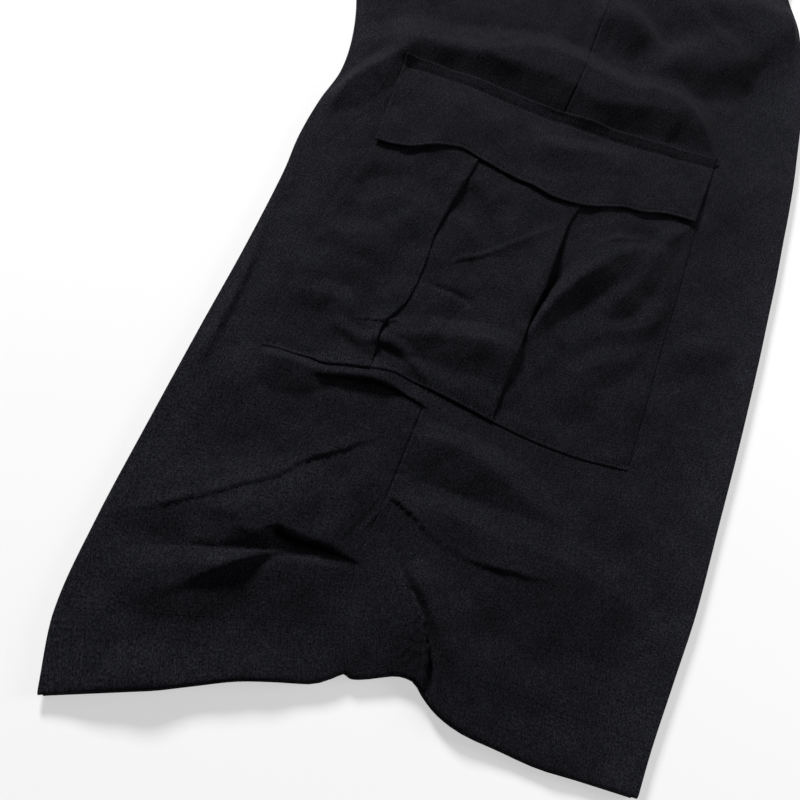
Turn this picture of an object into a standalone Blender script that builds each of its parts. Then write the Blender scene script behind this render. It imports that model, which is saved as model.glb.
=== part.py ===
"""Cargo capri shorts, lying flat on one side.

The right leg lies on the surface with its outer side down, and the left leg lies on it
with its outer side up. Each leg is a flattened tube: a front panel and a back panel, sewn
along the side seam up the middle of the outer layer and along the inseam under it. Above
the crotch the turned-in edges of the panels meet at the centre front and centre back.

Places in the tables are in millimetres in the leg's own frame: X runs from front to back,
Y from hem to waist, and the left side seam meets the hem near the zero point. The finished
meshes are in metres, with the origin under the middle of the whole garment.
"""

import math

import bmesh
import bpy
from mathutils import Vector

MM = 0.001

# Cloth and the air between its layers
WALL = 1.0
GAP = 0.35
SEAM_GAP = 0.3
TUBE_GAP = 0.7
PITCH = WALL + GAP
TUBE_PITCH = WALL + TUBE_GAP
FOLD_RADIUS = TUBE_PITCH / 2
FOLD_STEPS = 3
LEG_INSET = 2.0

# Middle heights of the four layers of cloth, from the surface up
LAYERS = {
    "right outer": WALL / 2,
    "right inner": WALL / 2 + TUBE_PITCH,
    "left inner": WALL / 2 + TUBE_PITCH + PITCH,
    "left outer": WALL / 2 + 2 * TUBE_PITCH + PITCH,
}
ORDER = list(LAYERS)
OUTWARD = {"left": 1.0, "right": -1.0}

# Lines across the shorts, from the hem to the foot of the waistband
SECTIONS = [
    # height at the side seam, seam x, front x, front y, back x, back y
    (1.0, 0.0, -126.0, -54.0, 150.0, 1.0),
    (24.0, -7.0, -136.0, -18.0, 151.0, 25.0),
    (58.0, -13.0, -138.0, 28.0, 154.0, 61.0),
    (95.0, -11.0, -137.0, 80.0, 157.0, 98.0),
    (147.0, -10.0, -135.0, 147.0, 158.0, 147.0),
    (200.0, -8.0, -133.0, 200.0, 159.0, 200.0),
    (283.0, -2.0, -133.5, 283.0, 158.5, 283.0),
    (338.0, 3.0, -129.0, 338.0, 157.0, 338.0),
    (366.0, 6.0, -132.0, 366.0, 156.0, 366.0),
    (397.0, 8.0, -141.0, 397.0, 154.0, 397.0),
    (455.0, 9.0, -163.0, 444.0, 147.0, 461.0),
    (500.0, 10.0, -190.0, 482.0, 135.0, 510.0),
    (535.0, 8.0, -214.0, 514.0, 120.0, 546.0),
    (575.0, 3.0, -237.0, 553.0, 136.0, 588.0),
    (625.0, -6.0, -253.0, 603.0, 168.0, 642.0),
    (680.0, -18.0, -256.0, 655.0, 189.0, 701.0),
    (730.0, -30.0, -243.0, 702.0, 183.0, 756.0),
    (782.9, -42.0, -212.0, 746.0, 138.0, 822.0),
]
HEM_HEIGHT = SECTIONS[0][0]
WAIST_HEIGHT = SECTIONS[-1][0]
WAISTBAND_DEPTH = 40.0
WAISTBAND_WALL = 2.0
WAISTBAND_COLUMNS = 8
WAISTBAND_ROWS = (0.0, 0.5, 1.0)
WAISTBAND_GAP = 0.7

# The crotch seam: each panel's inner layer ends on it between these heights
CROTCH_HEIGHT = 520.0
CROTCH_TOP = 625.0
ALLOWANCE = 8.0

# How far the hem stands above the straight line across it, by distance from the side seam
HEM_LIFT = [
    # x, lift
    (-78.0, 0.0),
    (-46.0, 2.8),
    (-18.0, 0.4),
    (-11.0, 0.0),
    (0.0, 4.2),
    (8.0, 4.5),
    (28.0, 13.0),
    (48.0, 3.0),
    (80.0, -2.0),
    (150.0, 0.0),
]
HEM_LIFT_FADE = 60.0

# Cargo pocket
POCKET_LEFT = -103.5
POCKET_RIGHT = 103.0
POCKET_TOP = 338.0
POCKET_FOOT = [
    # x, y
    (-103.5, 146.5),
    (-70.0, 151.0),
    (-43.0, 159.0),
    (-28.0, 160.5),
    (0.0, 158.0),
    (30.0, 154.5),
    (66.0, 153.0),
    (103.0, 157.0),
]
POCKET_LINES = [172.0, 206.0, 244.0, 278.0, 295.0, POCKET_TOP]

# Its cloth lies on the panel this far in from each side, and is up on the first pleat after
# the rise
POCKET_LEFT_FLAT = 8.0
POCKET_LEFT_RISE = 30.0
POCKET_RIGHT_FLAT = 35.0

# Two pleats, each folded to the front over a tuck, and the turn of the cloth at a fold
PLEATS = [
    # x at the foot, x at the top
    (-44.0, -33.0),
    (27.0, 34.0),
]
PLEAT_DEPTH = 14.0
PLEAT_LEVELS = 2
PLEAT_TURN = [
    # share of half a layer outwards, share of a layer down
    (0.0, 0.0),
    (0.87, 0.25),
    (0.87, 0.75),
    (0.0, 1.0),
]
DOWN_AFTER_PLEAT = 6.0
UP_BEFORE_PLEAT = 5.0

# Flap
FLAP_LEFT = (-92.0, -96.0)
FLAP_RIGHT = (100.5, 104.0)
FLAP_COLUMNS = 9
FLAP_TOP = [
    # x, y
    (-96.0, 362.5),
    (-50.0, 367.5),
    (3.0, 367.5),
    (55.0, 371.5),
    (104.0, 378.0),
]
FLAP_FOOT = [
    # x, y
    (-92.0, 295.0),
    (-72.0, 299.0),
    (-45.0, 311.0),
    (-15.0, 308.0),
    (19.0, 304.0),
    (46.0, 310.0),
    (75.0, 320.0),
    (100.5, 324.0),
]
FLAP_LINES = [316.0, POCKET_TOP, 357.0]
FLAP_FOOT_MARGIN = 6.0

# How far the pocket and the flap push the cloth over them away from the surface
POCKET_RISE = PITCH * (PLEAT_LEVELS + 1)
FLAP_RISE = PITCH
RISE_ALONG = [
    # y, share of the pocket, share of the flap
    (129.0, 0.0, 0.0),
    (147.0, 1.0, 0.0),
    (278.0, 1.0, 0.0),
    (295.0, 1.0, 1.0),
    (POCKET_TOP, 1.0, 1.0),
    (357.0, 0.0, 1.0),
    (381.0, 0.0, 1.0),
    (397.0, 0.0, 0.0),
]
RISE_ACROSS = [
    # x, share
    (-125.0, 0.0),
    (-112.0, 1.0),
    (109.0, 1.0),
    (125.0, 0.0),
]

# The largest folds, on the left leg's outer layer: a ridge along each line, steeper on the
# hem side
FOLDS = [
    # from x, y, to x, y, height, reach to the hem side, reach to the waist side
    (-122.0, 48.0, -24.0, 59.0, 8.0, 14.0, 30.0),
    (-92.0, 131.0, -2.0, 138.0, 5.0, 13.0, 9.0),
    (2.0, 62.0, 24.0, -10.0, 4.5, 20.0, 16.0),
    (-134.0, 390.0, 14.0, 428.0, 5.5, 20.0, 26.0),
    (24.0, 452.0, 120.0, 446.0, 4.5, 20.0, 24.0),
]
FOLD_SWELL = 0.7

# Where the panels have their vertices: heights along the side seam, with every break of the
# rise, and shares of the way from the side seam to the fold
RISE_HEIGHTS = [row[0] for row in RISE_ALONG]
FINE_HEIGHTS = sorted(RISE_HEIGHTS + [
    HEM_HEIGHT, 12.0, 23.0, 35.0, 46.0, 57.0, 69.0, 82.0, 98.0, 114.0, 200.0, 412.0, 432.0,
    455.0, 485.0, 520.0, 555.0, 590.0, 625.0, 680.0, 730.0, 765.0, WAIST_HEIGHT,
])
PLAIN_HEIGHTS = sorted(RISE_HEIGHTS + [
    HEM_HEIGHT, 23.0, 57.0, 98.0, 200.0, 455.0, 500.0, 535.0, 575.0, 625.0, 680.0, 730.0,
    765.0, WAIST_HEIGHT,
])
FINE_SHARES = {
    "front": [0.0, 0.13, 0.27, 0.40, 0.54, 0.68, 0.82, 0.91, 1.0],
    "back": [0.0, 0.10, 0.20, 0.30, 0.42, 0.55, 0.68, 0.83, 1.0],
}
PLAIN_SHARES = {
    "front": [0.0, 0.40, 0.82, 0.91, 1.0],
    "back": [0.0, 0.20, 0.30, 0.68, 0.83, 1.0],
}

CLOTH_COLOUR = (0.0095, 0.0098, 0.0125, 1.0)
CLOTH_ROUGHNESS = 0.62


def read(table, key, column):
    """Piecewise straight value of one column of a table, by its first column."""
    if key <= table[0][0]:
        return table[0][column]
    for low, high in zip(table, table[1:]):
        if key <= high[0]:
            share = (key - low[0]) / (high[0] - low[0])
            return low[column] + (high[column] - low[column]) * share
    return table[-1][column]


def read_smooth(table, key, column):
    """Smooth value of one column of a table, through every row, by its first column."""
    keys = [row[0] for row in table]
    values = [row[column] for row in table]
    last = len(keys) - 1
    if key <= keys[0]:
        return values[0]
    if key >= keys[last]:
        return values[last]
    low = max(i for i in range(last) if keys[i] <= key)
    high = low + 1
    span = keys[high] - keys[low]

    def slope(i):
        before, after = max(i - 1, 0), min(i + 1, last)
        return (values[after] - values[before]) / (keys[after] - keys[before])

    t = (key - keys[low]) / span
    return (
        values[low] * (1 + 2 * t) * (1 - t) ** 2
        + slope(low) * span * t * (1 - t) ** 2
        + values[high] * t * t * (3 - 2 * t)
        - slope(high) * span * t * t * (1 - t)
    )


def section(height, side):
    """Where the line at this height meets the side seam and the front or back edge."""
    edge_x, edge_y = {"front": (2, 3), "back": (4, 5)}[side]
    seam = (read_smooth(SECTIONS, height, 1), height)
    edge = (read_smooth(SECTIONS, height, edge_x), read_smooth(SECTIONS, height, edge_y))
    return seam, edge


def hem_lift(x, height):
    fade = max(0.0, 1.0 - (height - HEM_HEIGHT) / HEM_LIFT_FADE)
    return read(HEM_LIFT, x, 1) * fade**2


def rise(x, y):
    """How far the right leg's pocket and flap hold its cloth above the surface."""
    along = POCKET_RISE * read(RISE_ALONG, y, 1) + FLAP_RISE * read(RISE_ALONG, y, 2)
    return along * read(RISE_ACROSS, x, 1)


def fold_height(x, y):
    """Height that the largest folds add to the left leg's outer layer."""
    total = 0.0
    for x0, y0, x1, y1, height, hem_reach, waist_reach in FOLDS:
        length = math.hypot(x1 - x0, y1 - y0)
        along_x, along_y = (x1 - x0) / length, (y1 - y0) / length
        along = ((x - x0) * along_x + (y - y0) * along_y) / length
        across = (y - y0) * along_x - (x - x0) * along_y
        reach = hem_reach if across < 0 else waist_reach
        if 0 < along < 1 and abs(across) < reach:
            swell = math.sin(math.pi * along) ** FOLD_SWELL
            total += height * swell * math.cos(math.pi * across / reach / 2) ** 2
    return total


def layer_height(layer, x, y):
    """Middle height of one layer of cloth."""
    lifted = LAYERS["right outer"] + rise(x, y) + PITCH * ORDER.index(layer)
    height = max(LAYERS[layer], lifted)
    if layer == "left outer":
        height += fold_height(x, y)
    return height


def inner_share(height, reach):
    """How much of the way back to the inseam the inner layer goes."""
    if height <= CROTCH_HEIGHT:
        return 1.0
    climb = min(1.0, (height - CROTCH_HEIGHT) / (CROTCH_TOP - CROTCH_HEIGHT))
    allowance = ALLOWANCE / reach
    return allowance + (1.0 - allowance) * (1.0 - climb) ** 2


def panel_row(leg, side, height, outer_shares, inner_shares):
    """Points across one panel: outer layer, fold, then inner layer."""
    (seam_x, seam_y), (edge_x, edge_y) = section(height, side)
    length = math.hypot(edge_x - seam_x, edge_y - seam_y)
    out_x, out_y = (edge_x - seam_x) / length, (edge_y - seam_y) / length
    full_reach = length - FOLD_RADIUS - WALL / 2
    reach = full_reach - (LEG_INSET if leg == "right" else 0.0)
    start = SEAM_GAP / 2

    def at(distance):
        x = seam_x + out_x * distance
        return x, seam_y + out_y * distance + hem_lift(x, height)

    def column(part):
        return min(start + (full_reach - start) * part, reach)

    outer, inner, share = f"{leg} outer", f"{leg} inner", inner_share(height, reach)
    row = []
    for part in outer_shares:
        x, y = at(column(part))
        row.append((x, y, layer_height(outer, x, y)))
    for step in range(1, FOLD_STEPS):
        turn = math.pi * step / FOLD_STEPS
        x, y = at(reach + FOLD_RADIUS * math.sin(turn))
        z = LAYERS[outer] - OUTWARD[leg] * FOLD_RADIUS * (1 - math.cos(turn))
        row.append((x, y, z))
    for part in reversed(inner_shares):
        x, y = at(reach - (reach - column(part)) * share)
        row.append((x, y, layer_height(inner, x, y)))
    return row


def pleat_edge(index, y):
    foot, top = PLEATS[index]
    share = (y - POCKET_FOOT[0][1]) / (POCKET_TOP - POCKET_FOOT[0][1])
    return foot + (top - foot) * share


def pocket_profile(y):
    """Distances across the pocket and the level of cloth above the panel at each."""
    top, half = PLEAT_LEVELS, PITCH / 2
    profile = [
        (POCKET_LEFT, 0.0),
        (POCKET_LEFT + POCKET_LEFT_FLAT, 0.0),
        (POCKET_LEFT + POCKET_LEFT_RISE, top),
    ]
    for index in range(len(PLEATS)):
        edge = pleat_edge(index, y)
        tuck = edge - PLEAT_DEPTH
        if index > 0:
            profile.append((tuck - UP_BEFORE_PLEAT, top))
        for out, down in PLEAT_TURN:
            profile.append((edge - half + half * out, top - down))
        for out, down in PLEAT_TURN:
            profile.append((tuck + half - half * out, top - 1.0 - down))
        if index + 1 < len(PLEATS):
            profile.append((edge + DOWN_AFTER_PLEAT, 0.0))
    profile += [(POCKET_RIGHT - POCKET_RIGHT_FLAT, 0.0), (POCKET_RIGHT, 0.0)]
    return profile


def on_panel(leg, x, y, levels):
    """A point that lies a number of layers off the panel, on its outer side."""
    off = PITCH * (1 + levels)
    return x, y, layer_height(f"{leg} outer", x, y) + OUTWARD[leg] * off


def pocket_rows(leg):
    """The pocket, from its curved foot to its straight top edge under the flap."""
    rows = [[
        on_panel(leg, x, read_smooth(POCKET_FOOT, x, 1), level)
        for x, level in pocket_profile(POCKET_FOOT[0][1])
    ]]
    for line in POCKET_LINES:
        rows.append([on_panel(leg, x, line, level) for x, level in pocket_profile(line)])
    return rows


def flap_column(leg, share):
    """Points up the flap, from its foot to its hinge, at one share of its width."""
    low, high = (left + (right - left) * share for left, right in zip(FLAP_LEFT, FLAP_RIGHT))
    foot, top = read_smooth(FLAP_FOOT, low, 1), read_smooth(FLAP_TOP, high, 1)
    lines = [max(line, foot + FLAP_FOOT_MARGIN) for line in FLAP_LINES]
    column = []
    for y in (foot, *lines, top):
        x = low + (high - low) * (y - foot) / (top - foot)
        over_pocket = read(RISE_ALONG, max(y, POCKET_TOP), 1) * (PLEAT_LEVELS + 1)
        column.append(on_panel(leg, x, y, over_pocket))
    return column


def flap_rows(leg):
    """The flap lies over the pocket and comes down to the panel at its hinge."""
    columns = [flap_column(leg, index / FLAP_COLUMNS) for index in range(FLAP_COLUMNS + 1)]
    return list(zip(*columns))


def waistband_rows():
    """A flattened ring that carries on from the top edges of the four panels."""
    radius = (LAYERS["left outer"] + WALL / 2 - WAISTBAND_WALL) / 2
    low = WAISTBAND_WALL / 2
    (seam, front), (_, back) = section(WAIST_HEIGHT, "front"), section(WAIST_HEIGHT, "back")
    lean = math.atan2(back[1] - front[1], back[0] - front[0])
    up = (-math.sin(lean), math.cos(lean))
    rows = []
    for part in WAISTBAND_ROWS:
        climb = WAISTBAND_GAP + WAISTBAND_DEPTH * part
        ring = []
        for start, end, height in ((front, back, low + 2 * radius), (back, front, low)):
            length = math.hypot(end[0] - start[0], end[1] - start[1])
            out = ((end[0] - start[0]) / length, (end[1] - start[1]) / length)
            margin = radius + WAISTBAND_WALL / 2
            for column in range(WAISTBAND_COLUMNS + 1):
                share = column / WAISTBAND_COLUMNS
                away = margin + (length - 2 * margin) * share
                ring.append((start[0] + out[0] * away, start[1] + out[1] * away, height))
            for step in range(1, FOLD_STEPS):
                turn = math.pi * step / FOLD_STEPS
                away = length - margin + radius * math.sin(turn)
                drop = radius * (1 - math.cos(turn))
                z = height - drop if height > low else height + drop
                ring.append((start[0] + out[0] * away, start[1] + out[1] * away, z))
        rows.append([(x + up[0] * climb, y + up[1] * climb, z) for x, y, z in ring])
    return rows


def cloth_material():
    material = bpy.data.materials.new("black cloth")
    material.use_nodes = True
    shader = material.node_tree.nodes["Principled BSDF"]
    shader.inputs["Base Color"].default_value = CLOTH_COLOUR
    shader.inputs["Roughness"].default_value = CLOTH_ROUGHNESS
    shader.inputs["Metallic"].default_value = 0.0
    return material


def cloth_object(name, rows, material, wall=WALL, ring=False):
    """A wall of cloth whose middle surface runs through rows of points in millimetres."""
    mesh = bpy.data.meshes.new(name)
    shell = bmesh.new()
    grid = [[shell.verts.new([value * MM for value in point]) for point in row] for row in rows]
    for lower, upper in zip(grid, grid[1:]):
        count = len(lower)
        for i in range(count if ring else count - 1):
            j = (i + 1) % count
            # The same diagonal in every layer keeps stacked layers apart
            if abs(lower[i].co.x) <= abs(lower[j].co.x):
                shell.faces.new((lower[i], lower[j], upper[j]))
                shell.faces.new((lower[i], upper[j], upper[i]))
            else:
                shell.faces.new((lower[i], lower[j], upper[i]))
                shell.faces.new((lower[j], upper[j], upper[i]))
    bmesh.ops.recalc_face_normals(shell, faces=shell.faces)
    shell.to_mesh(mesh)
    shell.free()
    mesh.materials.append(material)
    piece = bpy.data.objects.new(name, mesh)
    bpy.context.collection.objects.link(piece)
    thicken = piece.modifiers.new("cloth thickness", "SOLIDIFY")
    thicken.thickness = wall * MM
    thicken.offset = 0.0
    thicken.use_even_offset = True
    thicken.use_quality_normals = True
    return piece


def centre_on_origin():
    """Move every piece so that the origin is under the middle of the whole garment."""
    bpy.context.view_layer.update()
    corners = [
        piece.matrix_world @ Vector(corner)
        for piece in bpy.data.objects
        for corner in piece.evaluated_get(bpy.context.evaluated_depsgraph_get()).bound_box
    ]
    low, high = ([pick(c[axis] for c in corners) for axis in range(3)] for pick in (min, max))
    shift = Vector((-(low[0] + high[0]) / 2, -(low[1] + high[1]) / 2, -low[2]))
    for piece in bpy.data.objects:
        piece.location = shift


def main():
    for old in list(bpy.data.objects):
        bpy.data.objects.remove(old, do_unlink=True)
    cloth = cloth_material()
    for leg in ("left", "right"):
        heights = FINE_HEIGHTS if leg == "left" else PLAIN_HEIGHTS
        for side, plain in PLAIN_SHARES.items():
            outer = FINE_SHARES[side] if leg == "left" else plain
            rows = [panel_row(leg, side, height, outer, plain) for height in heights]
            cloth_object(f"{leg}_{side}", rows, cloth)
        cloth_object(f"{leg}_pocket", pocket_rows(leg), cloth)
        cloth_object(f"{leg}_flap", flap_rows(leg), cloth)
    cloth_object("waistband", waistband_rows(), cloth, wall=WAISTBAND_WALL, ring=True)
    centre_on_origin()


main()
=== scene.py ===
"""Looks of the cargo capri shorts: black cloth lying flat on one side.

Tables are in millimetres in the leg's own frame, the one that the CAD model is cut in: X
runs from front to back, Y from hem to waist, and the left side seam meets the hem near the
zero point. Every cloth piece is a thin shell on the form of its CAD solid, with the listed
creases laid on it.
"""

import math

import bpy
import numpy as np
from mathutils import Matrix, Vector, noise
from mathutils.bvhtree import BVHTree


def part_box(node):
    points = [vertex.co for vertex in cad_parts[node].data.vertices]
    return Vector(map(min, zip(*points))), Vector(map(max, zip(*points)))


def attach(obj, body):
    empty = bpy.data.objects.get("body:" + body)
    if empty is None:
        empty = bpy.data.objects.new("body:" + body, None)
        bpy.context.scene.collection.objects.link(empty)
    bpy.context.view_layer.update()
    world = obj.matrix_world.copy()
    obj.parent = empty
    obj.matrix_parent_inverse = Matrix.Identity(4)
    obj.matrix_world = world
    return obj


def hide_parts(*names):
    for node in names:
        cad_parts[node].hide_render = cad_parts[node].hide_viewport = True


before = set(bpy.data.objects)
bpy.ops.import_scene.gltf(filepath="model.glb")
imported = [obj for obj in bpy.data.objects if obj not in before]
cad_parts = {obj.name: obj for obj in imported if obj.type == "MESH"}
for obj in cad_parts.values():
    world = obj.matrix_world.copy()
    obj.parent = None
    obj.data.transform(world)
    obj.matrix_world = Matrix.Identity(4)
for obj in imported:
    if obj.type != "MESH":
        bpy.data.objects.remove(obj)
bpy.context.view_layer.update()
MM = 0.001

# Cloth: thickness, and the middle heights of the four layers of the legs
WALL = 0.5
LOWEST_LAYER = 0.5
PITCH = 1.35
TUBE_PITCH = 1.7
FOLD_RADIUS = TUBE_PITCH / 2
LEG_INSET = 2.0
LAYERS = {
    "right outer": LOWEST_LAYER,
    "right inner": LOWEST_LAYER + TUBE_PITCH,
    "left inner": LOWEST_LAYER + TUBE_PITCH + PITCH,
    "left outer": LOWEST_LAYER + 2 * TUBE_PITCH + PITCH,
}
ORDER = list(LAYERS)
OUTWARD = {"left": 1, "right": -1}
LAYER_BLEND = 4

# Lines across the shorts, from the hem to the foot of the waistband
SECTIONS = np.array([
    # seam x, seam y, front x, front y, back x, back y
    (0, 1, -126, -54, 150, 1),
    (-7, 24, -136, -18, 151, 25),
    (-13, 58, -138, 28, 154, 61),
    (-11, 95, -137, 80, 157, 98),
    (-10, 147, -135, 147, 158, 147),
    (-8, 200, -133, 200, 159, 200),
    (-4, 255, -132.5, 255, 159, 255),
    (-2, 283, -134, 283, 158.5, 283),
    (1, 312, -132.5, 312, 158, 312),
    (3, 338, -129, 338, 157, 338),
    (6, 366, -132, 366, 156, 366),
    (8, 397, -141, 397, 154, 397),
    (9, 455, -163, 444, 147, 461),
    (10, 500, -190, 482, 135, 510),
    (8, 535, -214, 514, 120, 546),
    (3, 575, -237, 553, 136, 588),
    (-6, 625, -253, 603, 168, 642),
    (-18, 680, -256, 655, 189, 701),
    (-30, 730, -243, 702, 183, 756),
    (-42, 782.9, -212, 746, 138, 822),
], dtype=float)
HEM_HEIGHT = SECTIONS[0, 1]
WAIST_HEIGHT = SECTIONS[-1, 1]
CROTCH_HEIGHT = 520.0
CROTCH_TOP = 625.0
ALLOWANCE = 8.0

# How far the hem stands above the straight line across it, by distance from the side seam
HEM_LIFT = np.array([
    # x, lift
    (-78, 0), (-63, 1.4), (-46, 2.8), (-30, 1.8), (-18, 0.4), (-11, 0), (-5, 2), (0, 4.2),
    (4, 3.4), (10, 5.4), (17, 9), (22, 11.6), (27, 13), (33, 12.5), (40, 7), (49, 2),
    (62, -1.5), (80, -2.5), (101, -3.5), (120, -2), (150, 0),
], dtype=float)
HEM_LIFT_FADE = 60.0

# How far the right leg's pocket and flap push the cloth above them away from the surface
RISE_ALONG = np.array([
    # y, rise
    (50, 0), (146, 2.2), (270, 2.2), (296, 3.0), (344, 3.0), (384, 1.6), (470, 0),
], dtype=float)
RISE_ACROSS = np.array([
    # x, share
    (-133, 0), (-100, 1), (105, 1), (158, 0),
], dtype=float)

# Rows and columns of points on the panels: closest where the creases are sharpest
ROW_SPACING = np.array([
    # from y, spacing on the left leg, spacing on the right leg
    (0, 1.15, 3.5),
    (172, 2.4, 5),
    (430, 5.5, 8),
], dtype=float)
COLUMN_SPACING = {"left": 1.3, "right": 3.5}
COLUMN_CROWDING = {"front": 0.0, "back": 1.2}
# Shares of a panel's reach: where the crowding fades out, what counts as beside the seam, and
# where the inner layer's columns draw closer
CROWDED_TO = (0.32, 0.42)
SEAM_SHARE = 0.06
INNER_MIDDLE = 0.45
SEAM_COLUMNS = 14
USUAL_REACH = 150
FOLD_STEPS = 7
FIRST_ROW = 1.5

# Hem: turned up inside the leg; rows further in than the turn are on the turned-up cloth
HEM_DEPTH = 26.0
HEM_TURN = 0.27
HEM_ROWS = (
    # height over the hem's edge, how far inside the outer cloth
    (26, 0.55), (20, 0.55), (13, 0.55), (6, 0.55), (1.5, 0.55), (0.2, 0.42), (-0.1, 0.27),
    (0.2, 0.12),
)

# Side seam: its lap, its puckers, and the heights between which they grow to full depth
SEAM_LAP = 3.0
SEAM_HEIGHT = 0.34
SEAM_RELIEF = {"left": 1, "right": -0.35}
LAP_CREST = (1.0, 1.6)
LAP_DROP = 0.8
LAP_SLOPE = (0.2, 1.8)
PUCKER_REACH = 5
PUCKERED_FROM = (60, 120)
# The pocket's foot holds the seam flat: where, and how far up and down from there
PUCKERLESS = (154, 10)

# Outer cloth: how far it stands up and how low it may sink. Its moves die away over the last
# part of the reach beside the fold, one part in HELD_EDGE, and at the right leg's hem.
HELD_EDGE = 17
CALM_HEM = 25
LEFT_LIFT = 0.4
LEFT_LOWEST = -0.8
LIMIT_BLEND = 3
RIGHT_LIFT = 0.25
RIGHT_RELIEF = 0.3
RIGHT_HIGHEST = 0.95
# Under a pocket the panel sinks, from a little inside its edges up to under the flap
PANEL_SINK = 0.35
HIDDEN_FROM = (1.5, 5)
HIDDEN_TO = (345, 355)

# Cargo pocket: its outline, and the two knife pleats whose folded edges face the back
POCKET_LEFT = -103.5
POCKET_RIGHT = 103.0
POCKET_TOP = 338.0
# The pocket's front edge moves back by the taper between two heights
POCKET_TAPER = 11.5
TAPERED = (230, 300)
POCKET_FOOT = np.array([
    # x, y
    (-103.5, 146.5), (-86, 148.5), (-70, 151), (-57, 156), (-43, 159.2), (-31, 160.5),
    (-19, 158.8), (-4, 158), (11, 156.2), (27, 154.4), (43, 153.2), (66, 153), (88, 155),
    (103, 157),
], dtype=float)
PLEATS = np.array([
    # y, front edge x, back edge x, front gape, back gape
    (158, -44.5, 26, 0.3, 0.2),
    (165, -45.2, 26, 1.0, 0.8),
    (174, -46.6, 26, 1.6, 0.9),
    (184, -45.8, 26.5, 0.9, 1.1),
    (190, -42.6, 26.5, 0.3, 1.1),
    (198, -39.5, 27, 0.1, 1.4),
    (212, -38, 27.2, 0.0, 1.5),
    (230, -38, 28, 0.0, 1.8),
    (245, -39, 29.4, 0.1, 3.4),
    (262, -38, 29.4, 1.3, 4.2),
    (277, -36.5, 29.8, 1.7, 3.0),
    (292, -34, 30.6, 0.7, 0.4),
    (308, -32, 33.5, 0.1, 0.1),
    (338, -30, 36, 0.0, 0.0),
], dtype=float)
# Pleats: depth, round of their folds, flat cloth before each rises, and how the lips gape
PLEAT_DEPTH = 14.0
PLEAT_EDGE_ROOM = 0.6
PLEAT_FOLD = 0.45
PLEAT_STEPS = 6
PLEAT_BACK_COLUMNS = 9
PLEAT_CLIMB = 26
GAPE_REACH = 10
FLAT_BEFORE = {"first pleat": 7, "next pleat": 38}
# How far the front and the back edge sink to the panel, and over what reach
POCKET_SIDES_SUNK = ((1.1, 2.2), (0.42, 2.5))
SEWN_EDGE = (1, 12)
PRESSED_FOOT = (0, 8)
POCKET_RIM = 0.6
CALM_UNDER_FLAP = (-4, 6)
# Rim beside sewn edges, then its groove: how high or deep, and how far inside the edge
RIM = ((0.40, 0.9), (0.22, 2.8))
RIM_WIDTH = 0.8
POCKET_LAY = {
    # height of the lowest cloth over the panel, height from one fold of a pleat to the next
    "left": (0.56, 0.6),
    "right": (0.6, 0.6),
}

# Pocket flap
FLAP_WIDTH = 200
FLAP_DEPTH = 66
FLAP_SIDES = ((-92.0, -96.0), (100.5, 104.0))
FLAP_TOP = np.array([
    # x, y
    (-96, 362.5), (-75, 365.5), (-50, 367.5), (-23, 367.5), (3, 367.5), (29, 369), (55, 371.5),
    (81, 374.5), (104, 378),
], dtype=float)
FLAP_FOOT = np.array([
    # x, y, how far it stands off the pocket
    (-92, 295, 0.4), (-82, 296.5, 1.1), (-72, 299, 1.8), (-62, 304.5, 0.9), (-52, 309, 0.2),
    (-43, 311.5, 0.1), (-30, 309.5, 0.1), (-15, 308, 0.2), (3, 306, 0.1), (19, 304, 0.1),
    (34, 306, 0.3), (46, 310, 0.6), (57, 315, 0.3), (69, 317, 0.6), (81, 322, 0.7),
    (91, 324, 0.5), (100.5, 324, 1.6),
], dtype=float)
FLAP_WALL = 0.7
FLAP_CLEARANCE = 0.7
FLAP_ONTO = 24
FLAP_PADDING = 2.1
FLAP_RIM = 0.7
FLAP_LIFTED = 0.45
FLAP_LEVEL = np.array([
    # x, share of the pleats' height that the flap lies on
    (-96, 0.1), (-78, 0.4), (-60, 1), (-36, 1), (-17, 0.1), (-8, 0.15), (6, 1), (31, 1),
    (46, 0.3), (62, 0.2), (84, 0.2), (104, 0),
], dtype=float)
TOPSTITCH = 7.0
GROOVE_DEPTH = 0.5
GROOVE_WIDTH = 0.9

# Waistband: elastic run through a plain strip, which draws in the cloth below it
WAISTBAND_DEPTH = 40.0
WAISTBAND_WALL = 1.2
WAISTBAND_LAP = 2.0
WAISTBAND_CHANNELS = 3
WAISTBAND_CHANNELS_SWELL = 0.6
WAISTBAND_ROOM = 0.7
WAISTBAND_PLAY = 0.25
WAISTBAND_ROWS = 37
WAISTBAND_SPACING = 1.9
# Run between the front and the back, so that the two have ripples of their own
BACK_RUN = 300
GATHER_REACH = 100.0
GATHER_DEPTH = 3.4

# Painted sheen: the cloth's colour is made lighter along the folded edges of the legs, where
# light catches the turning cloth, more strongly on the back panels
PAINTED_EDGE_SHEEN = {"front": 0.36, "back": 0.62}
PAINTED_SHEEN_REACH = 24.0

# Stitches: pitch, length, thickness
STITCH = (3.2, 2.3, 0.36)
STITCH_START = 0.8
STITCH_SINK = 0.1
STITCH_THICKEST = 0.4
STITCH_FULL = 0.9
# A stitch that would be this many times its length crosses a step, and is left out
STITCH_LONGEST = 1.6
RAY_START = 50
# Rows of stitches: distance from the piece's edge, and how far they stop short of its sides
ROW_INSET = {"hem": 1.5, "pocket": 2.8, "flap": 3.4}
ROW_ENDS = 3
HEM_ROW_SHARES = (0.01, 0.975)
BACK_ROW_TOP = 296
PATH_POINTS = 60
# Spacing of the points on the pockets and flaps
POINT_SPACING = {"left": 1.15, "right": 2.6}

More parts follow.
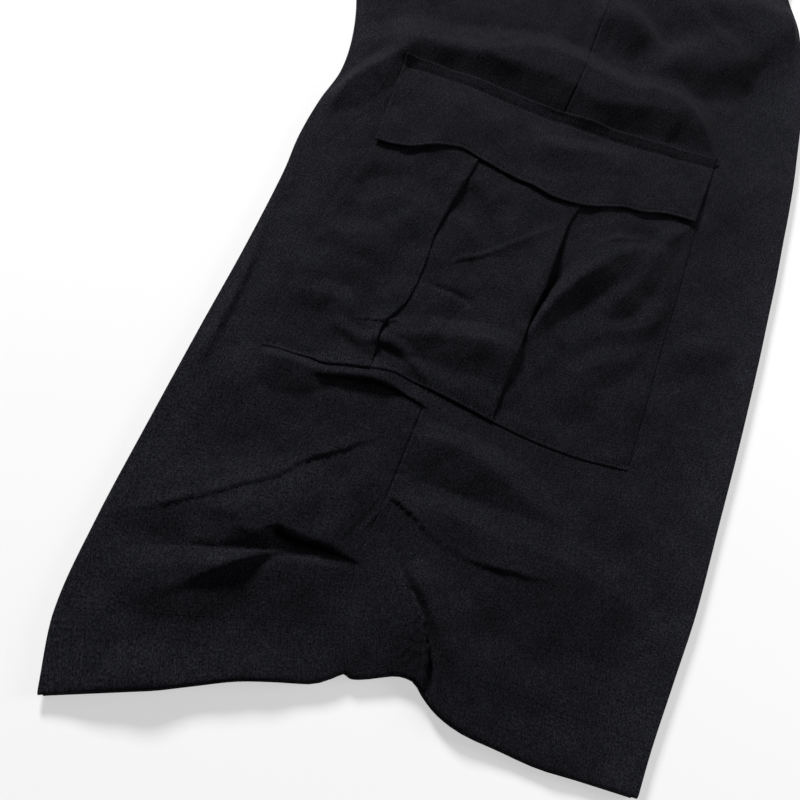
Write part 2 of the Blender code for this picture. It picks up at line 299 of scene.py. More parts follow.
# Unevenness of the cloth: length of its waves, how deep they are, seed of the noise
UNEVEN = {
    "crease": (2.6, 1.5, 5.1),
    "fine gathers": (5.6, 1.0, 14.5),
    "broad gathers": (11, 0.7, 4.4),
    "broad": (36, 2.6, 3.7),
    "middle": (15, 1.2, 8.2),
    "fine": (6.5, 0.22, 2.4),
    "seam": (3.2, 1.8, 6.6),
    "pocket": (19, 1.5, 9.6),
    "fine pocket": (9, 0.7, 31.4),
    "waistband": (4.2, 1.5, 21),
}

# Weave, as noise: features a metre across and along the cloth, detail, roughness of the noise
WEAVE = {
    "slub": (1000.0, 170.0, 2.0, 0.6),
    "weft": (160.0, 900.0, 1.0, 0.6),
    "grain": (1250.0, 1000.0, 2.0, 0.7),
    "wear": (60.0, 45.0, 4.0, 0.6),
    "crinkle": (330.0, 150.0, 4.0, 0.6),
}
# How far each darkens and brightens the cloth, from the middle range of its noise, and its
# share of the fine relief
MIDDLE_RANGE = (0.3, 0.7)
TONE = {"slub": (0.68, 1.32), "grain": (0.05, 1.95), "weft": (0.86, 1.14), "wear": (0.85, 1.15)}
RELIEF = {"slub": 0.35, "grain": 0.12}
RELIEF_DEPTH = 0.0007
RELIEF_STRENGTH = 0.55
CLOTH_COLOUR = (0.0098, 0.0100, 0.0128)
CLOTH_SURFACE = {
    "Roughness": 0.8,
    "Specular IOR Level": 0.015,
    "Sheen Weight": 0.02,
    "Sheen Roughness": 0.5,
}
THREAD_SURFACE = {
    "Base Color": (0.007, 0.0071, 0.0092, 1),
    "Roughness": 0.55,
    "Specular IOR Level": 0.03,
}

# Camera: it looks down at the leg from the hem side and is rolled, as held by hand
CAMERA_TILT = math.radians(25.668)
CAMERA_ROLL = math.radians(21.6)
CAMERA_PLACE = (-22.92, -105.51, 532.89)
LENS = 50.0
SENSOR_WIDTH = 36.0
NEAREST_SEEN = 0.01

# Floor and light, in metres and watts
FLOOR_HALF = 8.0
FLOOR_SURFACE = {
    "Base Color": (0.55, 0.55, 0.55, 1),
    "Roughness": 0.9,
    "Specular IOR Level": 0.0,
    "Emission Color": (1, 1, 1, 1),
    "Emission Strength": 0.524,
}
WORLD_STRENGTH = 0.07
LAMPS = (
    # name, direction, distance, size, power
    ("key", (-0.65, 0.76, 0.60), 2.6, 0.7, 103.0),
    ("side", (1.0, 0.1, 0.5), 1.2, 0.6, 4.5),
)


def through(table, key_column, column, at):
    """Smooth curve through the rows of a table, read at many keys at once."""
    keys, values = table[:, key_column], table[:, column]
    at = np.clip(at, keys[0], keys[-1])
    low = np.clip(np.searchsorted(keys, at, side="right") - 1, 0, len(keys) - 2)
    index = np.arange(len(keys))
    before, after = np.maximum(index - 1, 0), np.minimum(index + 1, len(keys) - 1)
    slopes = (values[after] - values[before]) / (keys[after] - keys[before])
    span = keys[low + 1] - keys[low]
    t = (at - keys[low]) / span
    return (
        values[low] * (1 + 2 * t) * (1 - t) ** 2
        + slopes[low] * span * t * (1 - t) ** 2
        + values[low + 1] * t * t * (3 - 2 * t)
        - slopes[low + 1] * span * t * t * (1 - t)
    )


def eased(table, at):
    """Level stretches of a two-column table joined by soft ramps."""
    keys, values = table[:, 0], table[:, 1]
    at = np.clip(at, keys[0], keys[-1])
    low = np.clip(np.searchsorted(keys, at, side="right") - 1, 0, len(keys) - 2)
    t = (at - keys[low]) / (keys[low + 1] - keys[low])
    return values[low] + (values[low + 1] - values[low]) * t * t * (3 - 2 * t)


def layer_height(layer, x, y):
    """Middle height of a layer: its own, or higher where the pocket below pushes it up."""
    pushed = eased(RISE_ALONG, y) * eased(RISE_ACROSS, x)
    lifted = LOWEST_LAYER + pushed + PITCH * ORDER.index(layer)
    gap = LAYERS[layer] - lifted
    blended = np.log1p(np.exp(np.clip(LAYER_BLEND * gap, -8, 40))) / LAYER_BLEND
    return lifted + np.where(gap > -2, blended, 0)


# Creases. Each is a ridge along a line: seen along its run, it falls to the right over its
# right reach and to the left over its left reach. Its top leans to the right by the lean.
# A tuck's top hangs over, and the cloth runs back under it. A negative height is a furrow.
PANEL_CREASES = {
    # x, y, height, lean, right reach, left reach
    "deep fold": ("tuck", [
        (-129, 40, 0, 0, 15, 16), (-114, 45.5, 1.6, 0, 19, 20), (-99, 51, 3.4, 0, 20, 26),
        (-88, 54, 5.6, 0.5, 19, 30), (-77, 56.5, 7.4, 1.3, 17.5, 32),
        (-69, 58.4, 8.8, 2.0, 17.5, 34), (-61, 61.8, 9.4, 2.6, 17, 34),
        (-54, 64.8, 8.7, 6.8, 16.5, 34), (-43, 65.2, 7.4, 7.4, 14.5, 32),
        (-31, 63.8, 5.0, 5.2, 10.5, 24), (-20, 61.2, 2.8, 3.4, 7.5, 16), (-9, 58, 0, 0, 4, 10),
    ]),
    "its foot": ("sharp", [
        (-122, 20.5, 0, 0, 1.4, 3), (-109, 26.3, -0.5, -0.3, 1.4, 3.4),
        (-97, 31.6, -0.9, -0.5, 1.4, 3.6), (-86, 35.6, -1.4, -0.6, 1.4, 4),
        (-75, 39.0, -1.8, -0.7, 1.4, 5), (-66, 42.2, -2.2, -0.7, 1.6, 6),
        (-58, 45.5, -2.2, -0.4, 1.6, 6), (-50, 49, 0, 0, 1.6, 5),
    ]),
    "under the lip": ("face", [
        (-82, 47, 0, 0, 8, 12), (-75, 49.6, 2.6, 0.1, 9, 16), (-68, 52.6, 5.0, 0.3, 9.5, 18),
        (-61, 56, 5.2, 0.3, 10, 16), (-52, 59, 0, 0, 8, 8),
    ]),
    "fold below it": ("soft", [
        (-118, -9, 0, 0, 9, 14), (-108, 2, 0.9, 0.2, 8, 20), (-99, 9, 0.8, 0.2, 8, 24),
        (-91, 14, 1.0, 0.4, 6.4, 30), (-84, 20.5, 2.3, 1.0, 5.8, 36),
        (-78, 26.5, 4.0, 1.6, 5.6, 36), (-72, 32.5, 5.0, 2.0, 5.5, 30),
        (-65, 39.0, 5.4, 1.9, 5.6, 22), (-58, 44.8, 4.8, 1.3, 5.8, 14),
        (-52, 49, 2.6, 0.7, 5.6, 8), (-46, 53, 0, 0, 6, 4),
    ]),
    "swell above the hem": ("face", [
        (-128, 2, 0, 0, 14, 14), (-112, 12, 2.6, 0, 22, 20), (-96, 20, 3.9, 0, 27, 16),
        (-80, 28, 4.2, 0, 31, 12), (-66, 35, 4.4, 0, 33, 10), (-52, 41, 4.7, 0, 34, 9),
        (-38, 45.5, 4.2, 0, 34, 9), (-24, 49.5, 2.9, 0, 30, 9), (-10, 53.5, 0, 0, 18, 8),
    ]),
    "along the hem": ("soft", [
        (-126, -62, 0, 0, 8, 24), (-100, -50, 3.4, 0, 8, 30), (-60, -33, 3.8, 0, 8, 30),
        (-24, -17, 2.4, 0, 8, 26), (-6, -8, 0, 0, 8, 18),
    ]),
    "under the pocket": ("tuck", [
        (-101, 141, 0, 0, 14, 8), (-93, 142.4, 3.4, 0, 17, 9), (-84, 143, 4.3, 0.1, 18, 9),
        (-75, 144.2, 4.2, 0.4, 16, 9), (-71.5, 145.2, 3.6, 1.2, 13.5, 9),
        (-68, 146.8, 4.4, 3.6, 12, 10), (-58, 151.3, 4.9, 4.7, 10, 10),
        (-47, 154.4, 4.5, 4.4, 9.5, 10), (-37, 155.2, 3.6, 3.6, 8, 10),
        (-27, 154.2, 2.4, 2.4, 6.5, 9), (-18, 152.0, 1.8, 1.8, 5.5, 7),
        (-10.5, 149.8, 1.1, 1.1, 4, 6), (-4, 147.8, 0, 0, 4, 5),
    ]),
    "puckered": ("crumpled", [
        (-132, 36, 0, 0, 2.0, 6), (-118, 43.5, 0.6, 0.3, 2.0, 7), (-104, 55, 1.1, 0.6, 2.0, 8),
        (-91, 63.5, 1.5, 0.8, 2.0, 9), (-81.5, 72, 1.7, 0.9, 2.0, 10),
        (-71, 80, 1.8, 1.0, 2.1, 11), (-58, 95.5, 1.8, 1.0, 2.1, 11),
        (-49, 103.5, 1.6, 0.9, 2.0, 10), (-40, 111, 1.4, 0.8, 2.0, 9),
        (-31.5, 119.2, 0.9, 0.5, 2.0, 8), (-24, 124, 0, 0, 2.0, 8),
    ]),
    "puckered branch": ("crumpled", [
        (-114, 46, 0, 0, 1.8, 4), (-108, 50, 0.9, 0.5, 1.8, 4), (-103.5, 54, 0.7, 0.4, 1.8, 4),
        (-99, 59, 0, 0, 1.8, 4),
    ]),
    "between the folds": ("soft", [
        (-86, 62, 0, 0, 12, 10), (-62, 79, 1.4, 0.1, 14, 12), (-38, 97, 1.6, 0.1, 14, 12),
        (-16, 119, 0, 0, 12, 10),
    ]),
    "lower, between the folds": ("soft", [
        (-66, 66, 0, 0, 8, 8), (-46, 78, 1.0, 0.1, 9, 9), (-27, 94, 1.0, 0.1, 9, 9),
        (-13, 110, 0, 0, 8, 8),
    ]),
    "before the seam": ("soft", [
        (-25, 60, 0, 0, 9, 10), (-28, 69, 1.8, 0.2, 11, 12), (-28, 80, 2.2, 0.3, 12, 13),
        (-24, 92, 1.8, 0.2, 12, 12), (-19, 104, 0, 0, 10, 10),
    ]),
    "strand before the seam": ("sharp", [
        (-21, 63, 0, 0, 1.6, 2.6), (-16, 76, 0.4, 0.2, 1.6, 2.6), (-11, 88, 0.4, 0.2, 1.6, 2.6),
        (-8, 96, 0, 0, 1.6, 2.6),
    ]),
    "second strand": ("sharp", [
        (-26, 65, 0, 0, 1.6, 2.6), (-21, 78, 0.4, 0.2, 1.6, 2.6), (-16, 90, 0.3, 0.1, 1.6, 2.6),
        (-13, 98, 0, 0, 1.6, 2.6),
    ]),
    "hem rise": ("crumpled", [
        (35, -30, 0.1, 0, 5, 26), (35.8, -4, 0.3, 0, 5.5, 26), (35.4, 12, 2.4, 0.6, 5.4, 26),
        (31.4, 26, 6.0, 1.8, 5, 28), (25, 37.5, 7.4, 2.4, 4.8, 28), (18.8, 46, 6.8, 2.2, 4.4, 26),
        (12, 53, 5.0, 1.6, 4, 22), (5.5, 61.5, 2.4, 0.6, 3.6, 16), (-2, 70, 0, 0, 4, 12),
    ]),
    "beyond the hem rise": ("soft", [
        (46, -20, 0, 0.0, 24, 4.6), (45.4, 6, 0.8, 0, 26, 4.6), (43, 19, 3.2, 0, 28, 4.2),
        (38.2, 32.4, 5.2, 0, 28, 3.8), (32, 42.2, 5.8, 0, 26, 3.4), (25, 50.2, 5.0, 0, 22, 3.2),
        (17, 57.6, 3.2, 0, 18, 3.2), (10, 66, 0, 0, 14, 4),
    ]),
    "beside the seam": ("crumpled", [
        (-11, 96, 0, 0, 2.2, 8), (-5, 94, 1.7, 0.9, 2.3, 10), (3, 90.5, 1.5, 0.8, 2.3, 12),
        (10, 87, 0.9, 0.5, 2.2, 14), (20, 82.5, 0.5, 0.3, 2.2, 14), (36, 79, 0.7, 0.3, 2.2, 14),
        (52, 79.5, 1.4, 0.7, 2.4, 14), (66, 81, 1.1, 0.5, 2.4, 12), (84, 84, 0, 0, 2.4, 10),
    ]),
    "slope under it": ("face", [
        (-6, 97, 0, 0, 28, 12), (10, 96, 3.6, 0, 42, 14), (40, 94, 5.4, 0, 52, 17),
        (80, 93, 5.2, 0, 52, 19), (112, 89, 3.4, 0, 46, 19), (134, 82, 0, 0, 34, 16),
    ]),
    "below the pocket's back": ("face", [
        (-9, 130, 0, 0, 16, 12), (2, 131, 4.1, 0.2, 22, 12), (16, 131, 5.0, 0.3, 24, 13),
        (34, 128, 4.6, 0.3, 24, 14), (56, 120, 3.6, 0.3, 24, 16), (80, 110, 1.9, 0.1, 20, 16),
        (104, 104, 0, 0, 18, 16),
    ]),
    "over the flap": ("face", [
        (-132, 360, 0, 0, 12, 14), (-114, 369, 3.6, 0.2, 19, 20), (-95, 377, 5.6, 0.3, 18, 24),
        (-76, 381, 7.0, 0.5, 17, 25), (-56, 385.5, 8.8, 0.7, 19, 26),
        (-36, 391, 10.4, 1.0, 25, 28), (-14, 396.5, 12.0, 1.4, 34, 30),
        (6, 398.5, 12.4, 1.4, 37, 29), (22, 397, 12.0, 1.4, 36, 27), (42, 397, 10.6, 1.3, 27, 26),
        (60, 402.5, 9.4, 1.1, 30, 24), (79, 402, 6.6, 0.8, 28, 21), (94, 391, 2.6, 0.2, 18, 13),
        (107, 376, 0, 0, 8, 8),
    ]),
    "above it, by the seam": ("face", [
        (2, 452, 0, 0, 14, 14), (18, 457.5, 8.2, 0.8, 24, 19), (36, 453, 7.8, 0.7, 24, 16),
        (54, 443, 0, 0, 12, 10),
    ]),
    "at the seat": ("face", [
        (44, 424, 0, 0, 18, 16), (62, 440, 7.8, 0.6, 29, 21), (81, 452, 11.0, 0.8, 32, 24),
        (98, 460, 8.8, 0.6, 31, 22), (114, 464, 0, 0, 16, 14),
    ]),
    "edge at the seat": ("soft", [
        (54, 492, 0, 0, 10, 5), (68, 484, 2.6, 0.2, 14, 6), (84, 473, 3.8, 0.3, 16, 7),
        (97, 461, 3.0, 0.2, 14, 6), (107, 447, 0, 0, 10, 5),
    ]),
    "from the flap's corner": ("sharp", [
        (66, 424, 0, 0, 2.5, 6), (76, 411, 0.9, 0.4, 2.5, 7), (90, 396, 1.0, 0.4, 2.5, 7),
        (102, 382, 0.8, 0.3, 2.5, 6), (110, 368, 0, 0, 2.5, 5),
    ]),
    "before the flap": ("face", [
        (-134, 308, 0, 0, 12, 5), (-127, 319, 5.4, 0.5, 18, 6), (-120.5, 330, 7.2, 0.6, 20.5, 8),
        (-114, 341, 6.8, 0.5, 18, 9), (-106.5, 354, 5.6, 0.3, 15, 9), (-99, 366, 3.0, 0.1, 12, 9),
        (-92, 376, 0, 0, 8, 8),
    ]),
    "down the front edge": ("soft", [
        (-128, 112, 0, 0, 5, 6), (-127, 145, 1.8, 0.2, 5, 7), (-127, 180, 2.4, 0.3, 5, 7),
        (-129, 206, 2.2, 0.2, 5, 7), (-131, 228, 1.6, 0.2, 5, 5), (-130, 250, 0, 0, 5, 5),
    ]),
    "behind the pocket": ("soft", [
        (106, 226, 0, 0, 12, 12), (120, 238, 1.6, 0, 14, 14), (138, 256, 1.4, 0, 14, 12),
        (148, 268, 0, 0, 10, 10),
    ]),
    "high at the seat": ("face", [
        (40, 488, 0, 0, 30, 20), (66, 496, 7.0, 0, 50, 26), (96, 504, 10.0, 0, 56, 28),
        (122, 504, 8.4, 0, 52, 28), (146, 494, 0, 0, 34, 20),
    ]),
    "thigh": ("soft", [
        (-130, 462, 0, 0, 22, 22), (-90, 478, 3.4, 0.1, 26, 28), (-46, 492, 3.8, 0.1, 28, 30),
        (4, 500, 0, 0, 22, 22),
    ]),
    "crotch upper": ("soft", [
        (-232, 566, 0, 0, 16, 22), (-190, 580, 4.4, 0.3, 20, 28), (-140, 606, 5.0, 0.3, 24, 30),
        (-84, 628, 3.4, 0.1, 26, 30), (-30, 640, 0, 0, 22, 22),
    ]),
    "crotch lower": ("soft", [
        (-214, 528, 0, 0, 14, 16), (-170, 538, 3.8, 0.2, 18, 22), (-120, 548, 3.8, 0.2, 20, 24),
        (-60, 566, 0, 0, 18, 20),
    ]),
    "seat upper": ("soft", [
        (20, 690, 0, 0, 22, 20), (66, 668, 3.6, 0.1, 26, 22), (112, 640, 4.6, 0.2, 26, 20),
        (148, 616, 0, 0, 20, 16),
    ]),
    "seat lower": ("soft", [
        (14, 592, 0, 0, 20, 20), (52, 586, 3.4, 0.1, 24, 24), (88, 566, 3.8, 0.2, 24, 22),
        (118, 540, 0, 0, 16, 16),
    ]),
    "hip": ("soft", [
        (-190, 664, 0, 0, 18, 20), (-140, 676, 3.4, 0.2, 22, 26), (-88, 684, 3.0, 0.1, 24, 28),
        (-40, 702, 0, 0, 20, 20),
    ]),
}
POCKET_CREASES = {
    "sharp ridge": ("sharp", [
        (-27, 235, 0, 0, 2.0, 3), (-20, 243, 1.1, 0.5, 1.9, 4), (-12, 249, 1.1, 0.3, 2.6, 4),
        (-1, 259, 1.3, 0, 7, 3), (12, 273, 1.2, 0, 8, 3), (28, 290, 0, 0, 6, 3),
    ]),
    "short furrow": ("soft", [
        (-36, 218, 0, 0, 3, 3), (-28, 219, -1.0, 0, 3.2, 3.2), (-15, 219.5, -1.1, 0, 3.2, 3.2),
        (-3, 218, 0, 0, 3, 3),
    ]),
    "middle lean": ("soft", [
        (-34, 292, 0, 0, 9, 8), (-26, 281, -2.0, 0, 11, 10), (-14, 268, -2.0, 0, 11, 10),
        (-4, 258, 0, 0, 9, 8),
    ]),
    "low ridge": ("face", [
        (-50, 177, 0, 0, 9, 9), (-36, 182, 2.6, 0.2, 13, 11), (-21, 188.5, 4.4, 0.3, 17, 13),
        (-5, 193, 5.2, 0.4, 20, 14), (9, 195.5, 5.2, 0.3, 22, 14), (24, 196, 4.0, 0.1, 22, 12),
        (30, 196, 0, 0, 14, 8),
    ]),
    "curl by the foot": ("soft", [
        (-54, 171.6, 0, 0, 5, 5), (-46, 174.4, 1.8, 0.5, 4.8, 6), (-38, 174.8, 1.9, 0.5, 4.8, 6),
        (-29.5, 173.0, 2.1, 0.6, 4.8, 6), (-22, 168.6, 2.2, 0.7, 4.6, 6),
        (-16, 163.4, 1.6, 0.5, 4.2, 5), (-11, 158.6, 0, 0, 4, 5),
    ]),
    "small wrinkle": ("crumpled", [
        (-64, 181, 0, 0, 1.8, 3), (-55, 184.5, 1.1, 0.4, 1.8, 3), (-44, 187.5, 1.3, 0.5, 1.8, 3),
        (-34, 194, 0, 0, 1.8, 3),
    ]),
    "behind the pleat": ("face", [
        (28, 208, 0, 0, 7, 3), (31, 221, 3.6, 0.4, 9.5, 3.4), (35, 236, 6.8, 0.8, 12, 4.5),
        (41, 249, 7.6, 0.9, 13.5, 8), (50, 264, 7.0, 0.7, 15.5, 12), (59, 277, 5.6, 0.5, 17, 14),
        (70, 289, 3.8, 0.3, 15, 13), (84, 298, 0, 0, 10, 10),
    ]),
    "behind it": ("face", [
        (67, 243, 0, 0, 8, 8), (71, 254, 1.7, 0.2, 11, 9), (77, 268, 2.2, 0.2, 12, 10),
        (82, 282, 2.7, 0.2, 12, 10), (86, 297, 3.0, 0.2, 11, 9), (92, 311, 2.8, 0.2, 9, 8),
        (102, 324, 0, 0, 7, 6),
    ]),
    "under the flap": ("sharp", [
        (42, 272, 0, 0, 2.2, 5), (52, 286, 1.0, 0.4, 2.2, 6), (63, 294, 1.0, 0.3, 2.2, 6),
        (80, 302, 0, 0, 2.2, 5),
    ]),
    "back, middle": ("soft", [
        (82, 238, 0, 0, 10, 8), (91, 249, 2.0, 0.1, 10, 9), (97, 264, 2.0, 0.1, 8, 9),
        (98, 286, 0, 0, 8, 8),
    ]),
    "back, low": ("face", [
        (56, 196, 0, 0, 10, 9), (66, 206, 1.8, 0.1, 14, 10), (77, 216, 1.8, 0.1, 14, 10),
        (92, 224, 0, 0, 10, 9),
    ]),
    "back, above it": ("face", [
        (68, 232, 0, 0, 8, 7), (80, 238, 1.5, 0.1, 10, 8), (90, 245, 1.5, 0.1, 10, 8),
        (99, 254, 0, 0, 8, 7),
    ]),
    "front, upper": ("face", [
        (-86, 246, 0, 0, 12, 14), (-73, 262, 2.2, 0.1, 15, 16), (-58, 266, 2.9, 0.2, 17, 16),
        (-47, 254, 2.8, 0.2, 15, 15), (-39, 240, 0, 0, 10, 10),
    ]),
    "front, middle": ("face", [
        (-92, 222, 0, 0, 12, 12), (-80, 231, 1.3, 0.1, 16, 12), (-68, 229, 1.5, 0.1, 16, 12),
        (-58, 219, 0, 0, 12, 10),
    ]),
    "front, lower": ("face", [
        (-100, 184, 0, 0, 10, 9), (-88, 188.5, 1.6, 0.1, 12, 10), (-74, 189, 1.8, 0.1, 12, 10),
        (-62, 185, 0, 0, 10, 9),
    ]),
    "front, foot": ("soft", [
        (-72, 176, 0, 0, 5, 6), (-63, 173.8, 1.7, 0.3, 5.4, 6), (-54, 170.8, 1.9, 0.3, 5.4, 6),
        (-45, 166, 0, 0, 5, 5),
    ]),
}
FLAP_CREASES = {
    "slack": ("face", [
        (-8, 330, 0, 0, 13, 10), (8, 338, 2.0, 0.1, 17, 11), (24, 344, 2.4, 0.1, 17, 11),
        (42, 349, 2.0, 0.1, 16, 11), (60, 354, 0, 0, 12, 10),
    ]),
    "front": ("soft", [
        (-80, 330, 0, 0, 14, 14), (-62, 338, 0.9, 0, 14, 14), (-44, 338, 0, 0, 14, 14),
    ]),
}
FAINT_CREASES = {
    "knee": ("soft", [
        (-110, 60, 0, 0, 14, 16), (-60, 82, 0.7, 0, 16, 18), (0, 92, 0.8, 0, 16, 18),
        (70, 84, 0.5, 0, 16, 18), (120, 70, 0, 0, 14, 16),
    ]),
    "hem": ("soft", [
        (-70, -20, 0.6, 0, 10, 12), (-64, 20, 0.8, 0, 10, 12), (-50, 60, 0, 0, 10, 12),
    ]),
    "over the flap": ("soft", [
        (-120, 392, 0, 0, 16, 20), (-50, 416, 0.8, 0, 18, 22), (20, 424, 0.8, 0, 18, 22),
        (90, 410, 0, 0, 16, 18),
    ]),
    "thigh": ("soft", [
        (-150, 470, 0, 0, 18, 20), (-80, 500, 0.8, 0, 22, 24), (0, 520, 0, 0, 18, 20),
    ]),
    "hip": ("soft", [
        (-200, 600, 0, 0, 18, 20), (-110, 640, 0.8, 0, 24, 24), (-40, 660, 0, 0, 18, 20),
    ]),
    "seat": ("soft", [
        (10, 620, 0, 0, 18, 20), (80, 600, 0.8, 0, 24, 24), (130, 560, 0, 0, 18, 20),
    ]),
}
RING = [(math.cos(a), math.sin(a)) for a in np.arange(5) * math.tau / 5]
SLOPE = np.array([
    # share of the right reach, height
    (0, 1), (0.35, 0.70), (0.70, 0.36), (0.88, 0.15), (0.95, 0.04), (1, 0),
], dtype=float)
TUCK = np.array([
    # share of the right reach, how far forward, height
    (0, 1, 1), (0.10, 1.02, 0.84), (0.20, 0.85, 0.62), (0.32, 0.35, 0.36),
    (0.45, -0.25, 0.16), (0.58, -0.45, 0.04), (0.75, -0.25, 0), (1, 0, 0),
], dtype=float)
# Lean at which a tuck starts to hang over, and how much more lean it takes to hang fully
HANGING = (0.8, 4.2)
# Share of a straight slope that is rounded at each of its ends
ROUNDING = 0.15
LINE_STEPS = 10


def bell(at, middle, width):
    """Bump of height 1 that fades out on both sides of its middle."""
    return np.exp(-(((at - middle) / width) ** 2))


def crease_line(nodes):
    """A crease's table drawn out into a smooth line."""
    nodes = np.array(nodes, dtype=float)
    runs = np.hypot(*np.diff(nodes[:, :2], axis=0).T)
    keyed = np.column_stack([np.concatenate([[0], np.cumsum(runs)]), nodes])
    at = np.linspace(0, keyed[-1, 0], LINE_STEPS * (len(nodes) - 1) + 1)
    return np.column_stack([through(keyed, 0, column, at) for column in range(1, 7)])


def crease_profile(kind, share, right, lean):
    """Height and forward lean of a crease, as shares, at a share of its reach."""
    slope, bend = 1 - ROUNDING, 2 * ROUNDING * (1 - ROUNDING)
    middle = (share - ROUNDING / 2) / slope
    straight = 1 - np.where(
        share < ROUNDING, share**2 / bend,
        np.where(share < slope, middle, 1 - (1 - share) ** 2 / bend),
    )
    if kind == "tuck":
        upright, span = HANGING
        over = np.clip((lean - upright) / span, 0, 1)
        falling = over * through(TUCK, 0, 2, share) + (1 - over) * through(SLOPE, 0, 1, share)
        forward = np.where(right, through(TUCK, 0, 1, share), (1 - share**2) ** 2)
        return np.where(right, falling, straight), forward
    if kind == "face":
        return straight, straight
    if kind in ("sharp", "crumpled"):
        level = (1 - share) ** 2
        return level, level
    level = (1 - share**2) ** 2
    return level, level


def creased(x, y, creases):
    """How far the creases move points of flat cloth, as x, y and z."""
    points = np.column_stack([np.ravel(x), np.ravel(y)])
    moved = np.zeros((len(points), 3))
    for kind, nodes in creases.values():
        line = crease_line(nodes)
        reach = line[:, 4:6].max()
        near = np.all(points > line[:, :2].min(0) - reach, axis=1)
        near &= np.all(points < line[:, :2].max(0) + reach, axis=1)
        chosen = np.flatnonzero(near)
        if not len(chosen):
            continue
        place = points[chosen]
        start, run = line[:-1], np.diff(line, axis=0)
        length = np.hypot(run[:, 0], run[:, 1])
        away_x = place[:, None, 0] - start[None, :, 0]
        away_y = place[:, None, 1] - start[None, :, 1]
        along = (away_x * run[:, 0] + away_y * run[:, 1]) / length**2
        held = np.clip(along, 0, 1)
        gap_x, gap_y = away_x - held * run[:, 0], away_y - held * run[:, 1]
        best = np.argmin(gap_x**2 + gap_y**2, axis=1)
        rows = np.arange(len(place))
        held = held[rows, best]
        here = start[best] + run[best] * held[:, None]
        left_x, left_y = -run[best, 1] / length[best], run[best, 0] / length[best]
        across = gap_x[rows, best] * left_x + gap_y[rows, best] * left_y
        if kind == "crumpled":
            across = across + undulation(*place.T, "crease")
        right = across < 0
        share = np.clip(np.where(right, -across / here[:, 4], across / here[:, 5]), 0, 1)
        level, forward = crease_profile(kind, share, right, here[:, 3])
        lean = here[:, 3] * forward
        moved[chosen] += np.column_stack([-left_x * lean, -left_y * lean, here[:, 2] * level])
    return moved.reshape(*np.shape(x), 3)


def undulation(x, y, kind):
    """One kind of unevenness of cloth that has been worn and laid down."""
    size, depth, seed = UNEVEN[kind]
    flat_x, flat_y = np.ravel(x), np.ravel(y)
    values = [
        noise.noise(Vector((a / size, b / (1.3 * size), seed))) for a, b in zip(flat_x, flat_y)
    ]
    return depth * np.array(values).reshape(np.shape(x))


def inner_share(height, reach):
    """How much of its reach a panel's inner layer has: all of it down the leg, little above."""
    climb = np.clip((height - CROTCH_HEIGHT) / (CROTCH_TOP - CROTCH_HEIGHT), 0, 1)
    allowance = ALLOWANCE / reach
    return allowance + (1 - allowance) * (1 - climb) ** 2


def below_waist(x, y):
    """How far a point of the panels lies below the foot of the waistband."""
    front_x, front_y, back_x, back_y = SECTIONS[-1, 2:]
    return front_y + (back_y - front_y) * (x - front_x) / (back_x - front_x) - y


def gathers(x, y):
    """Small pleats of cloth drawn in by the waistband's elastic."""
    fullness = np.clip(1 - below_waist(x, y) / GATHER_REACH, 0, 1) ** 2
    fine = undulation(x + 0.2 * y, 0.1 * y, "fine gathers")
    return GATHER_DEPTH * fullness * (fine + undulation(x, 0.1 * y, "broad gathers"))


def slow_relief(x, y):
    """Soft unevenness of worn cloth lying on more cloth."""
    broad = undulation(x, y, "broad") + undulation(x, y, "middle")
    sewn_flat = 0.25 + 0.75 * ramp(below_waist(x, y), 1, 14)
    return (broad + undulation(x, y, "fine") + gathers(x, y)) * sewn_flat


def seam_relief(away, y, side):
    """Lapped side seam: the back panel's rounded edge lies on the front panel, puckered."""
    near = np.exp(-np.abs(away) / PUCKER_REACH)
    pucker = SEAM_HEIGHT * near * undulation(away * 0.5, y, "seam")
    if side == "back":
        return SEAM_HEIGHT * bell(away, *LAP_CREST) + pucker
    return -LAP_DROP * (1 - ramp(away, *LAP_SLOPE)) + pucker


def limited(z, low):
    """Keep a depth softly above a low limit."""
    return low + np.log1p(np.exp(np.clip(LIMIT_BLEND * (z - low), -30, 30))) / LIMIT_BLEND


def moved_cloth(leg, x, y):
    """How far the outer cloth of a leg is moved by its creases and unevenness."""
    relief = slow_relief(x, y)
    if leg == "left":
        moved = creased(x, y, PANEL_CREASES)
        moved[..., 2] = limited(moved[..., 2] + LEFT_LIFT + relief, LEFT_LOWEST)
    else:
        moved = creased(x, y, FAINT_CREASES)
        raised = moved[..., 2] + RIGHT_LIFT + RIGHT_RELIEF * relief
        moved[..., 2] = np.clip(raised, 0, RIGHT_HIGHEST)
    return moved


def seam_and_edge(side, heights):
    """Points of the side seam and of one panel's folded edge, at heights along the seam."""
    first = {"front": 2, "back": 4}[side]
    return [
        np.column_stack([through(SECTIONS, 1, column, heights) for column in columns])
        for columns in ((0, 1), (first, first + 1))
    ]


def panel_rows(leg):
    """Heights of a panel's rows, turned hem first, and how far inside the cloth each lies."""
    column = {"left": 1, "right": 2}[leg]
    starts = np.append(ROW_SPACING[:, 0], WAIST_HEIGHT)
    starts[0] = HEM_HEIGHT + FIRST_ROW
    heights = np.concatenate([
        np.arange(low, high, step)
        for low, high, step in zip(starts, starts[1:], ROW_SPACING[:, column])
    ])
    hem_heights, hem_insets = np.array(HEM_ROWS).T
    heights = np.concatenate([hem_heights + HEM_HEIGHT, heights, [WAIST_HEIGHT]])
    insets = np.zeros(len(heights))
    insets[:len(hem_insets)] = hem_insets
    return heights, insets[:, None]


